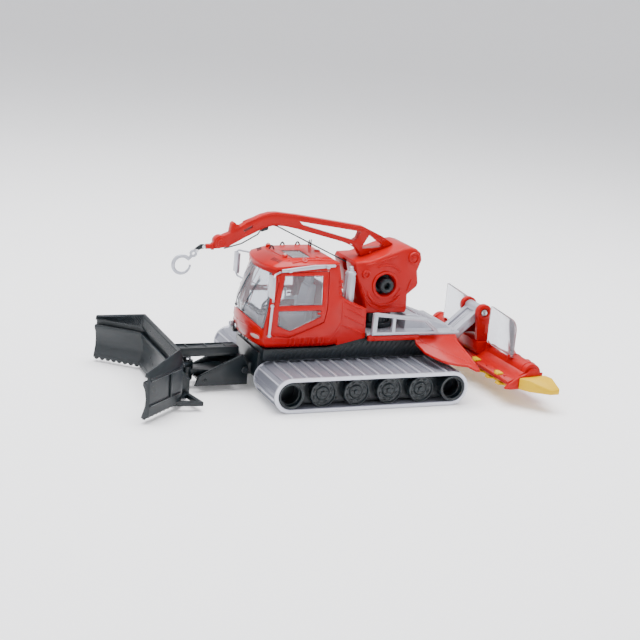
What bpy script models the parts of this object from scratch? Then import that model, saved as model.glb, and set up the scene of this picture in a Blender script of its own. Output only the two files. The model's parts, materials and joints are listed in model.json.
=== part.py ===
"""Die-cast toy of a snow groomer, about 1:50: tracked chassis, cab, winch with boom, blade and tiller.

Frame: +X to the rear, +Z up, Y across (left side is -Y), the ground at Z = 0, X = 0 half way along the tracks.
The whole assembly is then centred over the origin.  All sizes are in metres.
"""
import math

import bmesh
import bpy
from mathutils import Matrix, Vector

MM = 0.001
GAP = 0.3 * MM                     # seat between two pieces that touch on the model
RUN_GAP = 0.35 * MM                # running clearance of a pin in its bore
WELD = 0.002                       # points this close, in millimetres, become one after a Boolean

# Tracks and running gear
TRACK_LENGTH = 96.0 * MM
TRACK_HEIGHT = 16.5 * MM
TRACK_WIDTH = 27.3 * MM
TRACK_INNER = 14.7 * MM            # from the middle plane to the inner edge of a track
BELT_THICKNESS = 1.5 * MM
GROUSER_HEIGHT = 0.55 * MM
GROUSER_COUNT = 30
GROUSER_FOOT = 2.2 * MM
GROUSER_TIP = 1.1 * MM
RIM_WIDTH = 1.1 * MM               # smooth edge of the belt beside the grousers
WHEEL_PITCH = 16.1 * MM
IDLER_DEPTH = 9.0 * MM
IDLER_WALL = 1.0 * MM
WHEEL_RECESS = 2.8 * MM
FRAME_RECESS = 5.2 * MM

# Chassis
HULL_BELLY = 4.5 * MM
HULL_HALF = 18.0 * MM              # upper hull, over the tracks
HULL_FRONT = 46.0 * MM
HULL_REAR = 52.0 * MM
TURRET_X = 15.0 * MM
TURRET_RADIUS = 9.0 * MM
WINCH_BASE = 19.7 * MM             # underside of the winch above the track tops

SILL_RISE = (-14.0 * MM, 5.0 * MM)  # the body's underside climbs from the sill to the deck between these
DECK_Z = 10.2 * MM                 # underside of the deck above the track tops

# Cab
CAB_HALF = 18.8 * MM
CAB_HEIGHT = 35.5 * MM             # from the sill to the roof joint at the windscreen pillar
CAB_SILL = 6.0 * MM                # above the track tops
CAB_WALL = 1.2 * MM
GLASS = 0.8 * MM
ROOF_RISE = 4.6 * MM
ROOF_TILT = 0.085                  # the roof joint climbs this much per length towards the rear

# Winch and boom
WINCH_HALF = 12.0 * MM
DRUM_BORE = 5.0 * MM
DRUM_Z = 13.4 * MM                 # above the underside of the winch
KNOB_RADIUS = 3.3 * MM
BOOM_HALF = 2.0 * MM
ROPE_RADIUS = 0.28 * MM

# Blade and push frame
HINGE_Z = 10.0 * MM
HINGE_REACH = 3.5 * MM             # push frame hinge ahead of the hull's front
FRAME_HALF = 8.4 * MM
FRAME_PLATE = 1.3 * MM
PIN_REACH = 25.1 * MM              # from the push frame hinge to the swing pin
PIN_RADIUS = 1.2 * MM
BLADE_BACK = 10.5 * MM             # from the swing pin forward to the back of the blade
BLADE_HALF = 27.0 * MM             # from the middle to the fold of each wing
BLADE_DEPTH = 3.4 * MM
WING_FORWARD = 18.0 * MM
WING_OUT = 15.5 * MM

# Tiller
LIFT_REACH = 4.0 * MM              # lift arm hinge behind the hull's rear
LIFT_Z = 20.0 * MM
ARM_RUN = 16.0 * MM
ARM_RISE = 14.0 * MM
ARM_HALF = 5.9 * MM
LINK_RUN = 1.5 * MM                # the lower link's pivots lie this far behind the arm's
LINK_DROP = 5.0 * MM               # and this far below them
LINK_PIN = 0.65 * MM               # radius of the lower link's two pins
TILLER_HALF = 46.0 * MM
SCREEN_THICKNESS = 1.3 * MM

# Exhaust
EXHAUST_AT = (-4.0 * MM, -14.0 * MM)
EXHAUST_RADIUS = 2.2 * MM
EXHAUST_SEAT = 24.6                # a height written as for cab_z

# Boom and hook
BOOM_LIFT = 36.2                   # the outlines of the boom are written this far over the housing's underside
HOOK_PIN = (-85.4 * MM, 29.0 * MM)  # from the swivel axis and the housing's underside

# Levels of the cab
CAB_LEVELS = (
    # share of the height, tilt, nose, front corner, rear, width less than the widest (mm)
    (0.00, 0.0, -46.8, -43.2, -9.0, 2.8),
    (0.06, 0.0, -49.2, -44.8, -9.0, 0.9),
    (0.14, 0.0, -50.5, -45.7, -9.0, 0.2),
    (0.27, 0.0, -51.3, -46.1, -9.0, 0.0),
    (0.49, 0.0, -50.9, -45.2, -9.0, 0.0),
    (0.77, 0.6, -48.0, -42.7, -9.7, 0.6),
    (1.00, 1.0, -44.0, -40.4, -11.4, 1.5),
)

# Section of the blade
BLADE_PROFILE = (
    # distance behind the lip, height over the ground; the guard's top is set at each station (mm)
    (-0.4, 2.3), (0.3, 4.4), (1.3, 7.6), (1.5, 11.0), (0.9, 14.4), (-0.2, 16.5), (-0.2, 17.6), (0.6, 17.9),
    (1.8, 17.9), (1.8, 19.9), (0.5, 20.2), (0.9, None), (1.8, None), (3.4, 20.0), (3.4, 3.6), (1.6, 2.0),
)

# Tiller housing
TILLER_TOP = -14.1                 # the housing's top below the tiller pin (mm)


def mm(*points):
    """Scale points that are written in millimetres."""
    return [tuple(value * MM for value in point) for point in points]


# ---------------------------------------------------------------- modelling helpers

def mesh_from(bm, name="shape"):
    """Turn a bmesh into a mesh of triangles whose faces point out."""
    bm.normal_update()
    bmesh.ops.triangulate(bm, faces=bm.faces, ngon_method="EAR_CLIP")
    bmesh.ops.recalc_face_normals(bm, faces=bm.faces)
    if bm.calc_volume(signed=True) < 0:
        bmesh.ops.reverse_faces(bm, faces=bm.faces)
    mesh = bpy.data.meshes.new(name)
    bm.to_mesh(mesh)
    bm.free()
    return mesh


def loft(sections, closed=False):
    """A closed solid through sections of equal point counts, capped at both ends unless closed."""
    bm = bmesh.new()
    rings = [[bm.verts.new(point) for point in section] for section in sections]
    count = len(rings[0])
    pairs = list(zip(rings, rings[1:]))
    if closed:
        pairs.append((rings[-1], rings[0]))
    for low, high in pairs:
        for i in range(count):
            j = (i + 1) % count
            bm.faces.new((low[i], low[j], high[j], high[i]))
    if not closed:
        bm.faces.new(rings[0])
        bm.faces.new(rings[-1])
    return mesh_from(bm)


def prism(outline, low, high, axis="Y"):
    """Extrude a flat outline along an axis: Y takes (x, z), X takes (y, z) and Z takes (x, y)."""
    place = {"X": lambda a, b, t: (t, a, b), "Y": lambda a, b, t: (a, t, b), "Z": lambda a, b, t: (a, b, t)}[axis]
    return loft([[place(a, b, t) for a, b in outline] for t in (low, high)])


def box(low, high):
    """A block between two corners."""
    outline = [(low[0], low[2]), (high[0], low[2]), (high[0], high[2]), (low[0], high[2])]
    return prism(outline, low[1], high[1])


def circle(centre, radius, count=32, start=0.0, end=2 * math.pi):
    """Points round a circle, or along an arc when start and end don't make a full turn."""
    full = abs(end - start - 2 * math.pi) < 1e-9
    steps = count if full else count - 1
    angles = [start + (end - start) * i / steps for i in range(count)]
    return [(centre[0] + radius * math.cos(a), centre[1] + radius * math.sin(a)) for a in angles]


def disc(centre, radius, low, high, axis="Y", count=32):
    """A cylinder along an axis."""
    return prism(circle(centre, radius, count), low, high, axis)


def rod(points, radius, count=8):
    """A round bar along a path, with flat ends."""
    path = [Vector(point) for point in points]
    sections = []
    side = None
    for i, point in enumerate(path):
        before = (point - path[i - 1]).normalized() if i else None
        after = (path[i + 1] - point).normalized() if i < len(path) - 1 else None
        along = (before + after).normalized() if before and after else (before or after)
        if side is None:
            side = along.orthogonal().normalized()
        side = (side - along * side.dot(along)).normalized()
        up = along.cross(side)
        stretch = 1.0 / max(0.5, along.dot(after or before))
        ring = []
        for k in range(count):
            angle = 2 * math.pi * k / count
            ring.append(point + (side * math.cos(angle) + up * math.sin(angle)) * radius * math.sqrt(stretch))
        sections.append(ring)
    return loft(sections)


def inset(outline, distance):
    """Move every edge of an outline inwards by a distance."""
    area = sum(a[0] * b[1] - b[0] * a[1] for a, b in zip(outline, outline[1:] + outline[:1]))
    turn = 1.0 if area > 0 else -1.0
    moved = []
    for i, here in enumerate(outline):
        before = Vector(here) - Vector(outline[i - 1])
        after = Vector(outline[(i + 1) % len(outline)]) - Vector(here)
        n1 = Vector((-before.y, before.x)).normalized() * turn
        n2 = Vector((-after.y, after.x)).normalized() * turn
        mitre = (n1 + n2) / (1.0 + n1.dot(n2))
        moved.append(tuple(Vector(here) + mitre * distance))
    return moved


def cleaned(mesh):
    """Merge the hair-thin triangles that a Boolean leaves, in place."""
    bm = bmesh.new()
    bm.from_mesh(mesh)
    bmesh.ops.remove_doubles(bm, verts=bm.verts, dist=WELD)
    bmesh.ops.dissolve_degenerate(bm, edges=bm.edges, dist=WELD)
    bmesh.ops.triangulate(bm, faces=bm.faces, ngon_method="EAR_CLIP")
    edges = [edge for edge in bm.edges if len(edge.link_faces) < 2]
    if edges:
        bmesh.ops.holes_fill(bm, edges=edges, sides=6)
        bm.normal_update()
        bmesh.ops.triangulate(bm, faces=bm.faces, ngon_method="EAR_CLIP")
    bm.to_mesh(mesh)
    bm.free()
    return mesh


def boolean(mesh, others, operation):
    """Join, cut or intersect a mesh with others by an exact Boolean, worked out in millimetres."""
    result = mesh.copy()
    result.transform(Matrix.Scale(1 / MM, 4))
    for other in others:
        cutter = other.copy()
        cutter.transform(Matrix.Scale(1 / MM, 4))
        base = bpy.data.objects.new("base", result)
        tool = bpy.data.objects.new("tool", cutter)
        for obj in (base, tool):
            bpy.context.scene.collection.objects.link(obj)
        modifier = base.modifiers.new("boolean", "BOOLEAN")
        modifier.operation = operation
        modifier.solver = "EXACT"
        modifier.object = tool
        bpy.context.view_layer.update()
        graph = bpy.context.evaluated_depsgraph_get()
        result = cleaned(bpy.data.meshes.new_from_object(base.evaluated_get(graph)))
        bpy.data.objects.remove(base)
        bpy.data.objects.remove(tool)
    result.transform(Matrix.Scale(MM, 4))
    return result


def join(mesh, *others):
    """Union."""
    return boolean(mesh, others, "UNION")


def cut(mesh, *others):
    """Difference."""
    return boolean(mesh, others, "DIFFERENCE")


def common(mesh, *others):
    """Intersection."""
    return boolean(mesh, others, "INTERSECT")


def mirrored(mesh):
    """A copy for the other side, mirrored in the middle plane."""
    bm = bmesh.new()
    bm.from_mesh(mesh)
    bmesh.ops.transform(bm, matrix=Matrix.Scale(-1, 4, (0, 1, 0)), verts=bm.verts)
    return mesh_from(bm)


def material(name, colour, roughness, metallic=0.0, alpha=1.0):
    """A Principled material."""
    made = bpy.data.materials.get(name)
    if made:
        return made
    made = bpy.data.materials.new(name)
    made.use_nodes = True
    shader = made.node_tree.nodes["Principled BSDF"]
    shader.inputs["Base Color"].default_value = (*colour, 1.0)
    shader.inputs["Roughness"].default_value = roughness
    shader.inputs["Metallic"].default_value = metallic
    shader.inputs["Alpha"].default_value = alpha
    return made


def frame_empty(name, location, parent=None):
    """An empty that carries the pieces of one moving body."""
    empty = bpy.data.objects.new(name, None)
    empty.location = location
    empty.parent = parent
    bpy.context.scene.collection.objects.link(empty)
    return empty


def piece(name, mesh, finish, parent):
    """Name a solid, give it its material and hang it on its frame."""
    mesh.name = name
    mesh.materials.clear()
    mesh.materials.append(FINISHES[finish]())
    for polygon in mesh.polygons:
        polygon.material_index = 0
    mesh.shade_smooth()
    mesh.set_sharp_from_angle(angle=math.radians(32))
    obj = bpy.data.objects.new(name, mesh)
    obj.parent = parent
    bpy.context.scene.collection.objects.link(obj)
    return obj


FINISHES = {
    "red": lambda: material("red_paint", (0.62, 0.012, 0.012), 0.28),
    "silver": lambda: material("silver_plastic", (0.55, 0.56, 0.60), 0.35, 0.6),
    "black": lambda: material("black_plastic", (0.012, 0.018, 0.022), 0.35),
    "steel": lambda: material("bright_steel", (0.75, 0.76, 0.78), 0.2, 1.0),
    "yellow": lambda: material("yellow_plastic", (0.85, 0.62, 0.01), 0.4),
    "clear": lambda: material("clear_plastic", (0.9, 0.92, 0.93), 0.05, 0.0, 0.3),
    "grey": lambda: material("grey_plastic", (0.5, 0.5, 0.52), 0.45),
}


# ---------------------------------------------------------------- tracks and running gear

def stadium(radius, reach, count, bumps=None):
    """Points round a track loop, evenly spaced, each pushed out by its own entry of bumps."""
    straight = 2 * reach
    total = 2 * straight + 2 * math.pi * radius
    points = []
    for i in range(count):
        distance = total * i / count
        bump = bumps[i % len(bumps)] if bumps else 0.0
        offset = bumps[i % len(bumps)][1] if bumps else 0.0
        push = bump[0] if bumps else 0.0
        distance = (distance + offset) % total
        if distance < straight:
            points.append((-reach + distance, radius + push))
        elif distance < straight + math.pi * radius:
            angle = math.pi / 2 - (distance - straight) / radius
            points.append((reach + (radius + push) * math.cos(angle), (radius + push) * math.sin(angle)))
        elif distance < 2 * straight + math.pi * radius:
            points.append((reach - (distance - straight - math.pi * radius), -radius - push))
        else:
            angle = -math.pi / 2 - (distance - 2 * straight - math.pi * radius) / radius
            points.append((-reach + (radius + push) * math.cos(angle), (radius + push) * math.sin(angle)))
    return points


def track_sizes():
    """The belt's outer radius, its straight half length and its inner radius."""
    outer = TRACK_HEIGHT / 2 - GROUSER_HEIGHT
    return outer, TRACK_LENGTH / 2 - TRACK_HEIGHT / 2, outer - BELT_THICKNESS


def make_track():
    """One closed belt with its grousers, smooth along both rims."""
    outer, reach, inner = track_sizes()
    count = GROUSER_COUNT * 6
    pitch = (4 * reach + 2 * math.pi * outer) / GROUSER_COUNT
    foot = GROUSER_FOOT / 2
    tip = GROUSER_TIP / 2
    third = (pitch - GROUSER_FOOT) / 3
    profile = [(0.0, -foot), (GROUSER_HEIGHT, -tip), (GROUSER_HEIGHT, tip), (0.0, foot),
               (0.0, foot + third), (0.0, foot + 2 * third)]
    grouser = [(height, along - i * pitch / 6) for i, (height, along) in enumerate(profile)]
    flat = [(0.0, shift) for _, shift in grouser]
    y0 = TRACK_INNER
    y1 = TRACK_INNER + TRACK_WIDTH
    ramp = 0.5 * MM
    stations = [(y0, flat), (y0 + RIM_WIDTH, flat), (y0 + RIM_WIDTH + ramp, grouser),
                (y1 - RIM_WIDTH - ramp, grouser), (y1 - RIM_WIDTH, flat), (y1, flat)]
    sections = []
    for y, bumps in stations:
        sections.append([(x, -y, z) for x, z in stadium(outer, reach, count, bumps)])
    around = stadium(outer, reach, count, flat)
    hollow = []
    for x, z in around:
        middle = min(max(x, -reach), reach)
        scale = inner / outer
        hollow.append((middle + (x - middle) * scale, z * scale))
    sections.append([(x, -y1, z) for x, z in hollow])
    sections.append([(x, -y0, z) for x, z in hollow])
    return loft(sections, closed=True)


def make_running_gear():
    """The moulding inside a track: a plate with four road wheels and an open idler at each end."""
    outer, reach, inner = track_sizes()
    radius = inner - GAP
    face = -(TRACK_INNER + TRACK_WIDTH)
    back = -(TRACK_INNER + GAP)
    slab_radius = radius - 0.5 * MM
    outline = circle((reach, 0), slab_radius, 15, -math.pi / 2, math.pi / 2)
    outline += circle((-reach, 0), slab_radius, 15, math.pi / 2, 3 * math.pi / 2)
    body = prism(outline, face + FRAME_RECESS, back)
    wheels = []
    for i in range(4):
        x = (i - 1.5) * WHEEL_PITCH
        wheels.append(disc((x, 0), radius, face + WHEEL_RECESS, back - 2 * MM, count=28))
    for x in (-reach, reach):
        wheels.append(disc((x, 0), radius, face + GAP, back - 2 * MM, count=28))
    body = join(body, *wheels)
    holes = [disc((x, 0), radius - IDLER_WALL, face - MM, face + IDLER_DEPTH, count=28) for x in (-reach, reach)]
    return cut(body, *holes)


# ---------------------------------------------------------------- chassis

def make_hull():
    """The black tub between the tracks with its wider deck above them, and both hinge brackets."""
    low = TRACK_INNER - GAP
    top = TRACK_HEIGHT
    deck = top + 0.4 * MM
    lower = [(-HULL_FRONT, HULL_BELLY + 3 * MM), (-HULL_FRONT + 4 * MM, HULL_BELLY), (HULL_REAR - 6 * MM, HULL_BELLY),
             (HULL_REAR, HULL_BELLY + 6 * MM), (HULL_REAR, deck + 3 * MM), (-HULL_FRONT, deck + 3 * MM)]
    sill = top + CAB_SILL - GAP
    rear_top = top + DECK_Z - GAP
    upper = [(-HULL_FRONT + 1 * MM, deck), (HULL_REAR - 1 * MM, deck), (HULL_REAR - 1 * MM, rear_top),
             (SILL_RISE[1], rear_top), (SILL_RISE[0], sill), (-HULL_FRONT + 1 * MM, sill)]
    hull = join(prism(lower, -low, low), prism(upper, -HULL_HALF, HULL_HALF))
    front = (-HULL_FRONT - HINGE_REACH, HINGE_Z)
    tongue_half = FRAME_HALF - FRAME_PLATE - GAP
    tongue = circle(front, 2.6 * MM, 13, math.pi / 2, 3 * math.pi / 2)
    tongue += [(-HULL_FRONT + 2 * MM, HINGE_Z - 2.6 * MM), (-HULL_FRONT + 2 * MM, HINGE_Z + 2.6 * MM)]
    hull = join(hull, prism(tongue, -tongue_half, tongue_half))
    hull = cut(hull, disc(front, PIN_RADIUS + RUN_GAP, -tongue_half - MM, tongue_half + MM, count=20))
    rear = (HULL_REAR + LIFT_REACH, LIFT_Z)
    link = (rear[0] + LINK_RUN, rear[1] - LINK_DROP)
    ear_low = ARM_HALF + GAP
    ear = [(HULL_REAR - 2 * MM, link[1] - 3 * MM), (link[0] + 1 * MM, link[1] - 2.6 * MM),
           (link[0] + 2.2 * MM, link[1]), (rear[0] + 2.4 * MM, rear[1] + 1 * MM),
           (rear[0], rear[1] + 2.5 * MM), (HULL_REAR - 2 * MM, rear[1] + 2.5 * MM)]
    for side in (-1, 1):
        plate = prism(ear, side * ear_low, side * (ear_low + 1.6 * MM))
        hull = join(hull, plate)
    reach = ear_low + 3 * MM
    hull = cut(hull, disc(rear, PIN_RADIUS + RUN_GAP, -reach, reach, count=20),
               disc(link, LINK_PIN + RUN_GAP, -reach, reach, count=16))
    return hull


def make_turret_base():
    """The black ring that the winch turns on."""
    low = 12.0 * MM
    return join(disc((TURRET_X, 0), TURRET_RADIUS, low, WINCH_BASE - GAP, "Z", 40),
                disc((TURRET_X, 0), TURRET_RADIUS + 1.6 * MM, low, low + 2.4 * MM, "Z", 40))


def make_deck():
    """The silver rear deck with its sloping cover behind the winch."""
    low = DECK_Z
    plate = box((5.2 * MM, -HULL_HALF - 0.6 * MM, low), (HULL_REAR + 1.5 * MM, HULL_HALF + 0.6 * MM, low + 1.5 * MM))
    cover = [(27.5 * MM, low + MM), (27.5 * MM, WINCH_BASE - 1.2 * MM), (32 * MM, WINCH_BASE - 1.0 * MM),
             (HULL_REAR - 3 * MM, low + 3 * MM), (HULL_REAR, low + MM)]
    return join(plate, prism(cover, -12 * MM, 12 * MM))


def make_deck_rail():
    """The silver side frame of the deck: a sloping top bar, posts and a bottom bar."""
    low = 11.5 * MM
    outline = mm((6.4, 11.5), (41.5, 11.5), (40.6, 13.4), (34, 18.9), (9, 22.1), (6.8, 21.9))
    first = mm((8.9, 13.0), (16.6, 13.0), (16.6, 19.5), (8.9, 20.4))
    second = mm((18.2, 13.0), (38.2, 13.0), (33.4, 17.3), (18.2, 19.2))
    inner = HULL_HALF + 0.9 * MM
    frame = prism(outline, -inner - 2.0 * MM, -inner)
    reach = inner + 4 * MM
    return cut(frame, prism(first, -reach, low), prism(second, -reach, low))


def make_fender():
    """The red rear mudguard: a sheet that falls from the deck to a pointed tip, with the sill ahead of it."""
    thickness = 1.1 * MM
    outer = TRACK_INNER + TRACK_WIDTH
    inner = HULL_HALF + 1.0 * MM
    span = outer - inner
    rear = HULL_REAR - 0.8 * MM
    stations = [(0.0, 29.4, 10.5), (0.13, 29.0, 7.9), (0.49, 29.9, 5.8), (0.70, 33.6, 4.4), (0.84, 37.2, 3.4),
                (0.92, 41.8, 2.8), (0.965, 46.6, 2.4), (1.12, 49.4, 1.2)]
    sections = []
    for share, front, height in stations:
        y = -(inner + span * share)
        z = height * MM
        sections.append([(front * MM, y, z), (rear, y, z), (rear, y, z - thickness), (front * MM, y, z - thickness)])
    sheet = loft(sections)
    sill = box((4.9 * MM, -inner - 1.8 * MM, 9.0 * MM), (31 * MM, -inner - 0.001 * MM, 11.2 * MM))
    return join(sheet, sill)


# ---------------------------------------------------------------- cab


def cab_section(level, shrink, lift=0.0):
    """One level outline of the cab: a bowed nose, flat sides and a flat back."""
    share, tilt, nose, corner, rear, narrow = level
    half = CAB_HALF - narrow * MM - shrink
    base = CAB_SILL + CAB_HEIGHT * share + lift
    points = []
    for i in range(11):
        t = -1 + 2 * i / 10
        bow = 1 - abs(t) ** 2.3
        x = (corner + (nose - corner) * bow) * MM + shrink
        points.append((x, half * t))
    points += [(rear * MM - shrink, half), (rear * MM - shrink, -half)]
    front = corner * MM
    return [(x, y, base + tilt * ROOF_TILT * (x - front)) for x, y in points]


def cab_form(shrink, open_top=False, floor=0.0):
    """The cab's outer form made smaller all round; open_top carries it past the roof joint."""
    sections = [cab_section(level, shrink, floor if i == 0 else 0.0) for i, level in enumerate(CAB_LEVELS)]
    if open_top:
        sections.append(cab_section(CAB_LEVELS[-1], shrink, 3 * MM))
    return loft(sections)


def cab_z(height):
    """A height on the cab, written for the nominal cab in millimetres over the track tops."""
    return CAB_SILL + (height - 6.0) * CAB_HEIGHT / 35.5


def cab_outline(*points):
    """An outline on the cab's side."""
    return [(x * MM, cab_z(z)) for x, z in points]


def window_outlines():
    """The openings: windscreen, upper and lower door windows, door panel, and the rear window across."""
    return {
        "screen": cab_outline((-57.0, 24.3), (-45.9, 14.9), (-41.9, 40.0), (-57.0, 38.7)),
        "upper": cab_outline((-39.6, 25.8), (-18.6, 25.8), (-18.9, 39.2), (-37.3, 39.2)),
        "lower": cab_outline((-39.6, 16.6), (-33.2, 14.0), (-19.0, 20.4), (-19.0, 23.5), (-39.6, 23.5)),
        "door": cab_outline((-43.4, 12.0), (-33.0, 11.2), (-17.2, 17.8), (-16.0, 24.0), (-16.3, 41.3),
                            (-39.6, 40.6), (-42.4, 24.0)),
        "rear": [(-12.5 * MM, cab_z(30.5)), (12.5 * MM, cab_z(30.5)), (11.8 * MM, cab_z(40.6)),
                 (-11.8 * MM, cab_z(40.6))],
    }


def skylight_outline():
    """The roof window in plan."""
    return mm((-32.6, -12.0), (-23.4, -12.0), (-23.0, 2.6), (-32.2, 2.6))


def make_cab_parts():
    """The cab casting with its engine cover, both door panels and every window."""
    outer = cab_form(0.0)
    hollow = cab_form(CAB_WALL, True, 1.4 * MM)
    shell = cut(outer, hollow)
    windows = window_outlines()
    far = CAB_HALF + 4 * MM
    near = CAB_HALF - 6 * MM
    parts = {}
    for side, name in ((-1, "left"), (1, "right")):
        low, high = sorted((side * far, side * near))
        panel = common(shell, prism(inset(windows["door"], GAP / 2), low, high))
        panel = cut(panel, prism(windows["upper"], low, high), prism(windows["lower"], low, high))
        parts[name + "_door"] = panel
    pane_out = cab_form(0.2 * MM)
    pane_in = cab_form(0.2 * MM + GLASS, True, 1.4 * MM)
    pane = cut(pane_out, pane_in)
    for side, name in ((-1, "left"), (1, "right")):
        low, high = sorted((side * far, side * near))
        for key in ("upper", "lower"):
            parts[name + "_" + key + "_window"] = common(pane, prism(inset(windows[key], GAP), low, high))
    parts["windscreen"] = common(pane, prism(inset(windows["screen"], GAP), -far, far))
    body = cut(shell, prism(inset(windows["door"], -GAP / 2), -far, -near),
               prism(inset(windows["door"], -GAP / 2), near, far),
               prism(windows["screen"], -far, far))
    rear_low = -14 * MM
    rear_high = -6 * MM
    body = cut(body, prism(windows["rear"], rear_low, rear_high, "X"))
    parts["rear_window"] = common(pane, prism(inset(windows["rear"], GAP), rear_low, rear_high, "X"))
    cover = cab_outline((-9.9, 5.0), (4.3, 5.0), (3.4, 23.8), (-5.6, 27.5), (-9.4, 29.8), (-9.95, 29.0))
    cover_half = CAB_HALF - 0.25 * MM
    body = join(body, prism(cover, -cover_half, cover_half))
    below = [(SILL_RISE[0], CAB_SILL), (SILL_RISE[1], DECK_Z), (SILL_RISE[1], 0), (SILL_RISE[0], 0)]
    body = cut(body, prism(below, -far, far))
    sweep = disc((TURRET_X, 0), 19.3 * MM, WINCH_BASE - 0.6 * MM, WINCH_BASE + 20 * MM, "Z", 48)
    pocket = disc(EXHAUST_AT, EXHAUST_RADIUS + GAP, cab_z(EXHAUST_SEAT), cab_z(EXHAUST_SEAT) + 10 * MM, "Z", 24)
    parts["cab_body"] = cut(body, sweep, pocket)
    return parts


def make_exhaust():
    """The upright silver cylinder with a stepped cap."""
    low = cab_z(EXHAUST_SEAT) + GAP
    top = low + 15.4 * MM
    body = disc(EXHAUST_AT, EXHAUST_RADIUS, low, top, "Z", 24)
    return join(body, disc(EXHAUST_AT, EXHAUST_RADIUS * 0.6, top - MM, top + 1.2 * MM, "Z", 16))


def make_roof():
    """The roof casting: an overhanging edge, shoulders and a raised middle, with the skylight opening."""
    joint = CAB_LEVELS[-1]
    seat = GAP
    edge = (1.0, 1.0, joint[2] - 1.6, joint[3] - 1.2, joint[4] + 0.2, joint[5] - 0.5)
    shoulder = (1.0, 0.8, joint[2] - 1.3, joint[3] - 0.9, joint[4] - 0.2, joint[5] + 0.1)
    crown = (1.0, 0.3, joint[2] + 4.5, joint[3] + 4.0, joint[4] - 4.0, joint[5] + 4.5)
    sections = [cab_section(edge, 0.0, seat), cab_section(shoulder, 0.0, 0.36 * ROOF_RISE),
                cab_section(crown, 0.0, ROOF_RISE)]
    roof = loft(sections)
    hollow_low = (1.0, 1.0, joint[2] + 2.2, joint[3] + 2.2, joint[4] - 2.2, joint[5] + 2.2)
    hollow_high = (1.0, 0.3, joint[2] + 7.0, joint[3] + 7.0, joint[4] - 7.0, joint[5] + 7.0)
    hollow = loft([cab_section(hollow_low, 0.0, -MM), cab_section(hollow_high, 0.0, ROOF_RISE - 1.6 * MM)])
    low = CAB_SILL + CAB_HEIGHT - MM
    return cut(roof, hollow, prism(skylight_outline(), low, low + 12 * MM, "Z"))


def make_skylight():
    """The clear pane in the roof."""
    top = CAB_SILL + CAB_HEIGHT + ROOF_RISE
    return prism(inset(skylight_outline(), GAP), top - GLASS, top, "Z")


def make_roof_rail():
    """The silver strip along the roof's edge over the door."""
    outline = cab_outline((-39.6, 41.1), (-14.0, 43.5), (-14.0, 44.6), (-24.0, 44.5), (-39.6, 42.5))
    inner = CAB_HALF - 0.95 * MM + GAP
    return prism(outline, -inner - 1.2 * MM, -inner)


def make_seat():
    """The driver's seat: cushion and back in one moulding."""
    floor = CAB_SILL + 1.4 * MM + GAP
    outline = mm((-29, 0), (-18, 0), (-16.5, 24), (-18.8, 24.4), (-21.5, 11), (-31, 10.2), (-31.2, 7.6), (-29, 7))
    shape = [(x, floor + z) for x, z in outline]
    return prism(shape, -5.5 * MM, 5.5 * MM)


def make_console():
    """The dashboard and floor step ahead of the seat, with the steering column."""
    floor = CAB_SILL + 1.4 * MM + GAP
    outline = mm((-43.5, 0), (-34.5, 0), (-35.5, 5), (-40.0, 9.5), (-44.0, 11.5), (-46.0, 11.0), (-45.6, 4))
    shape = [(x, floor + z) for x, z in outline]
    body = prism(shape, -10 * MM, 10 * MM)
    column = prism([(x, floor + z) for x, z in mm((-39, 7), (-35.8, 13.6), (-36.6, 14.2), (-40.4, 7.6))],
                   -2.4 * MM, 2.4 * MM)
    return join(body, column)


def make_mirror():
    """A mirror on its bent bar: from the roof corner out, down and back to the pillar."""
    out = CAB_HALF + 6.0 * MM
    top = cab_z(41.4)
    low = cab_z(28.6)
    path = [(-40.5 * MM, -CAB_HALF - 0.4 * MM, top), (-44.6 * MM, -out + MM, top), (-45.4 * MM, -out, top - MM),
            (-45.2 * MM, -out, low + 2.5 * MM), (-44.6 * MM, -out + 1.2 * MM, low + 0.6 * MM),
            (-42.6 * MM, -CAB_HALF - 0.8 * MM, low)]
    bar = rod(path, 0.45 * MM, 8)
    plate = box((-46.2 * MM, -out - 0.6 * MM, low + 2.6 * MM), (-44.9 * MM, -out + 4.4 * MM, top - 0.8 * MM))
    return join(bar, plate)


def make_grab_rail():
    """The upright handrail on the front pillar."""
    out = CAB_HALF + 1.6 * MM
    low = cab_z(12.4)
    top = cab_z(26.4)
    path = [(-43.9 * MM, -CAB_HALF - GAP - 0.05 * MM, low), (-43.9 * MM, -out, low + 0.7 * MM),
            (-43.4 * MM, -out, top - 0.7 * MM), (-43.4 * MM, -CAB_HALF - GAP - 0.05 * MM, top)]
    return rod(path, 0.55 * MM, 8)


# ---------------------------------------------------------------- winch, boom and hook

def housing_outline():
    """The winch housing's side outline; X from the swivel axis, Z from the housing's underside."""
    return mm((-8.6, 0.0), (12.0, 0.0), (12.6, 1.6), (12.2, 8.6), (16.8, 12.4), (17.2, 14.0), (16.2, 19.8),
              (17.9, 25.0), (17.0, 28.4), (14.6, 30.3), (11.4, 31.0), (8.2, 30.6), (-8.6, 24.6), (-15.6, 24.2),
              (-16.3, 22.6), (-15.4, 18.6), (-10.6, 6.0), (-9.4, 2.4))


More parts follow.
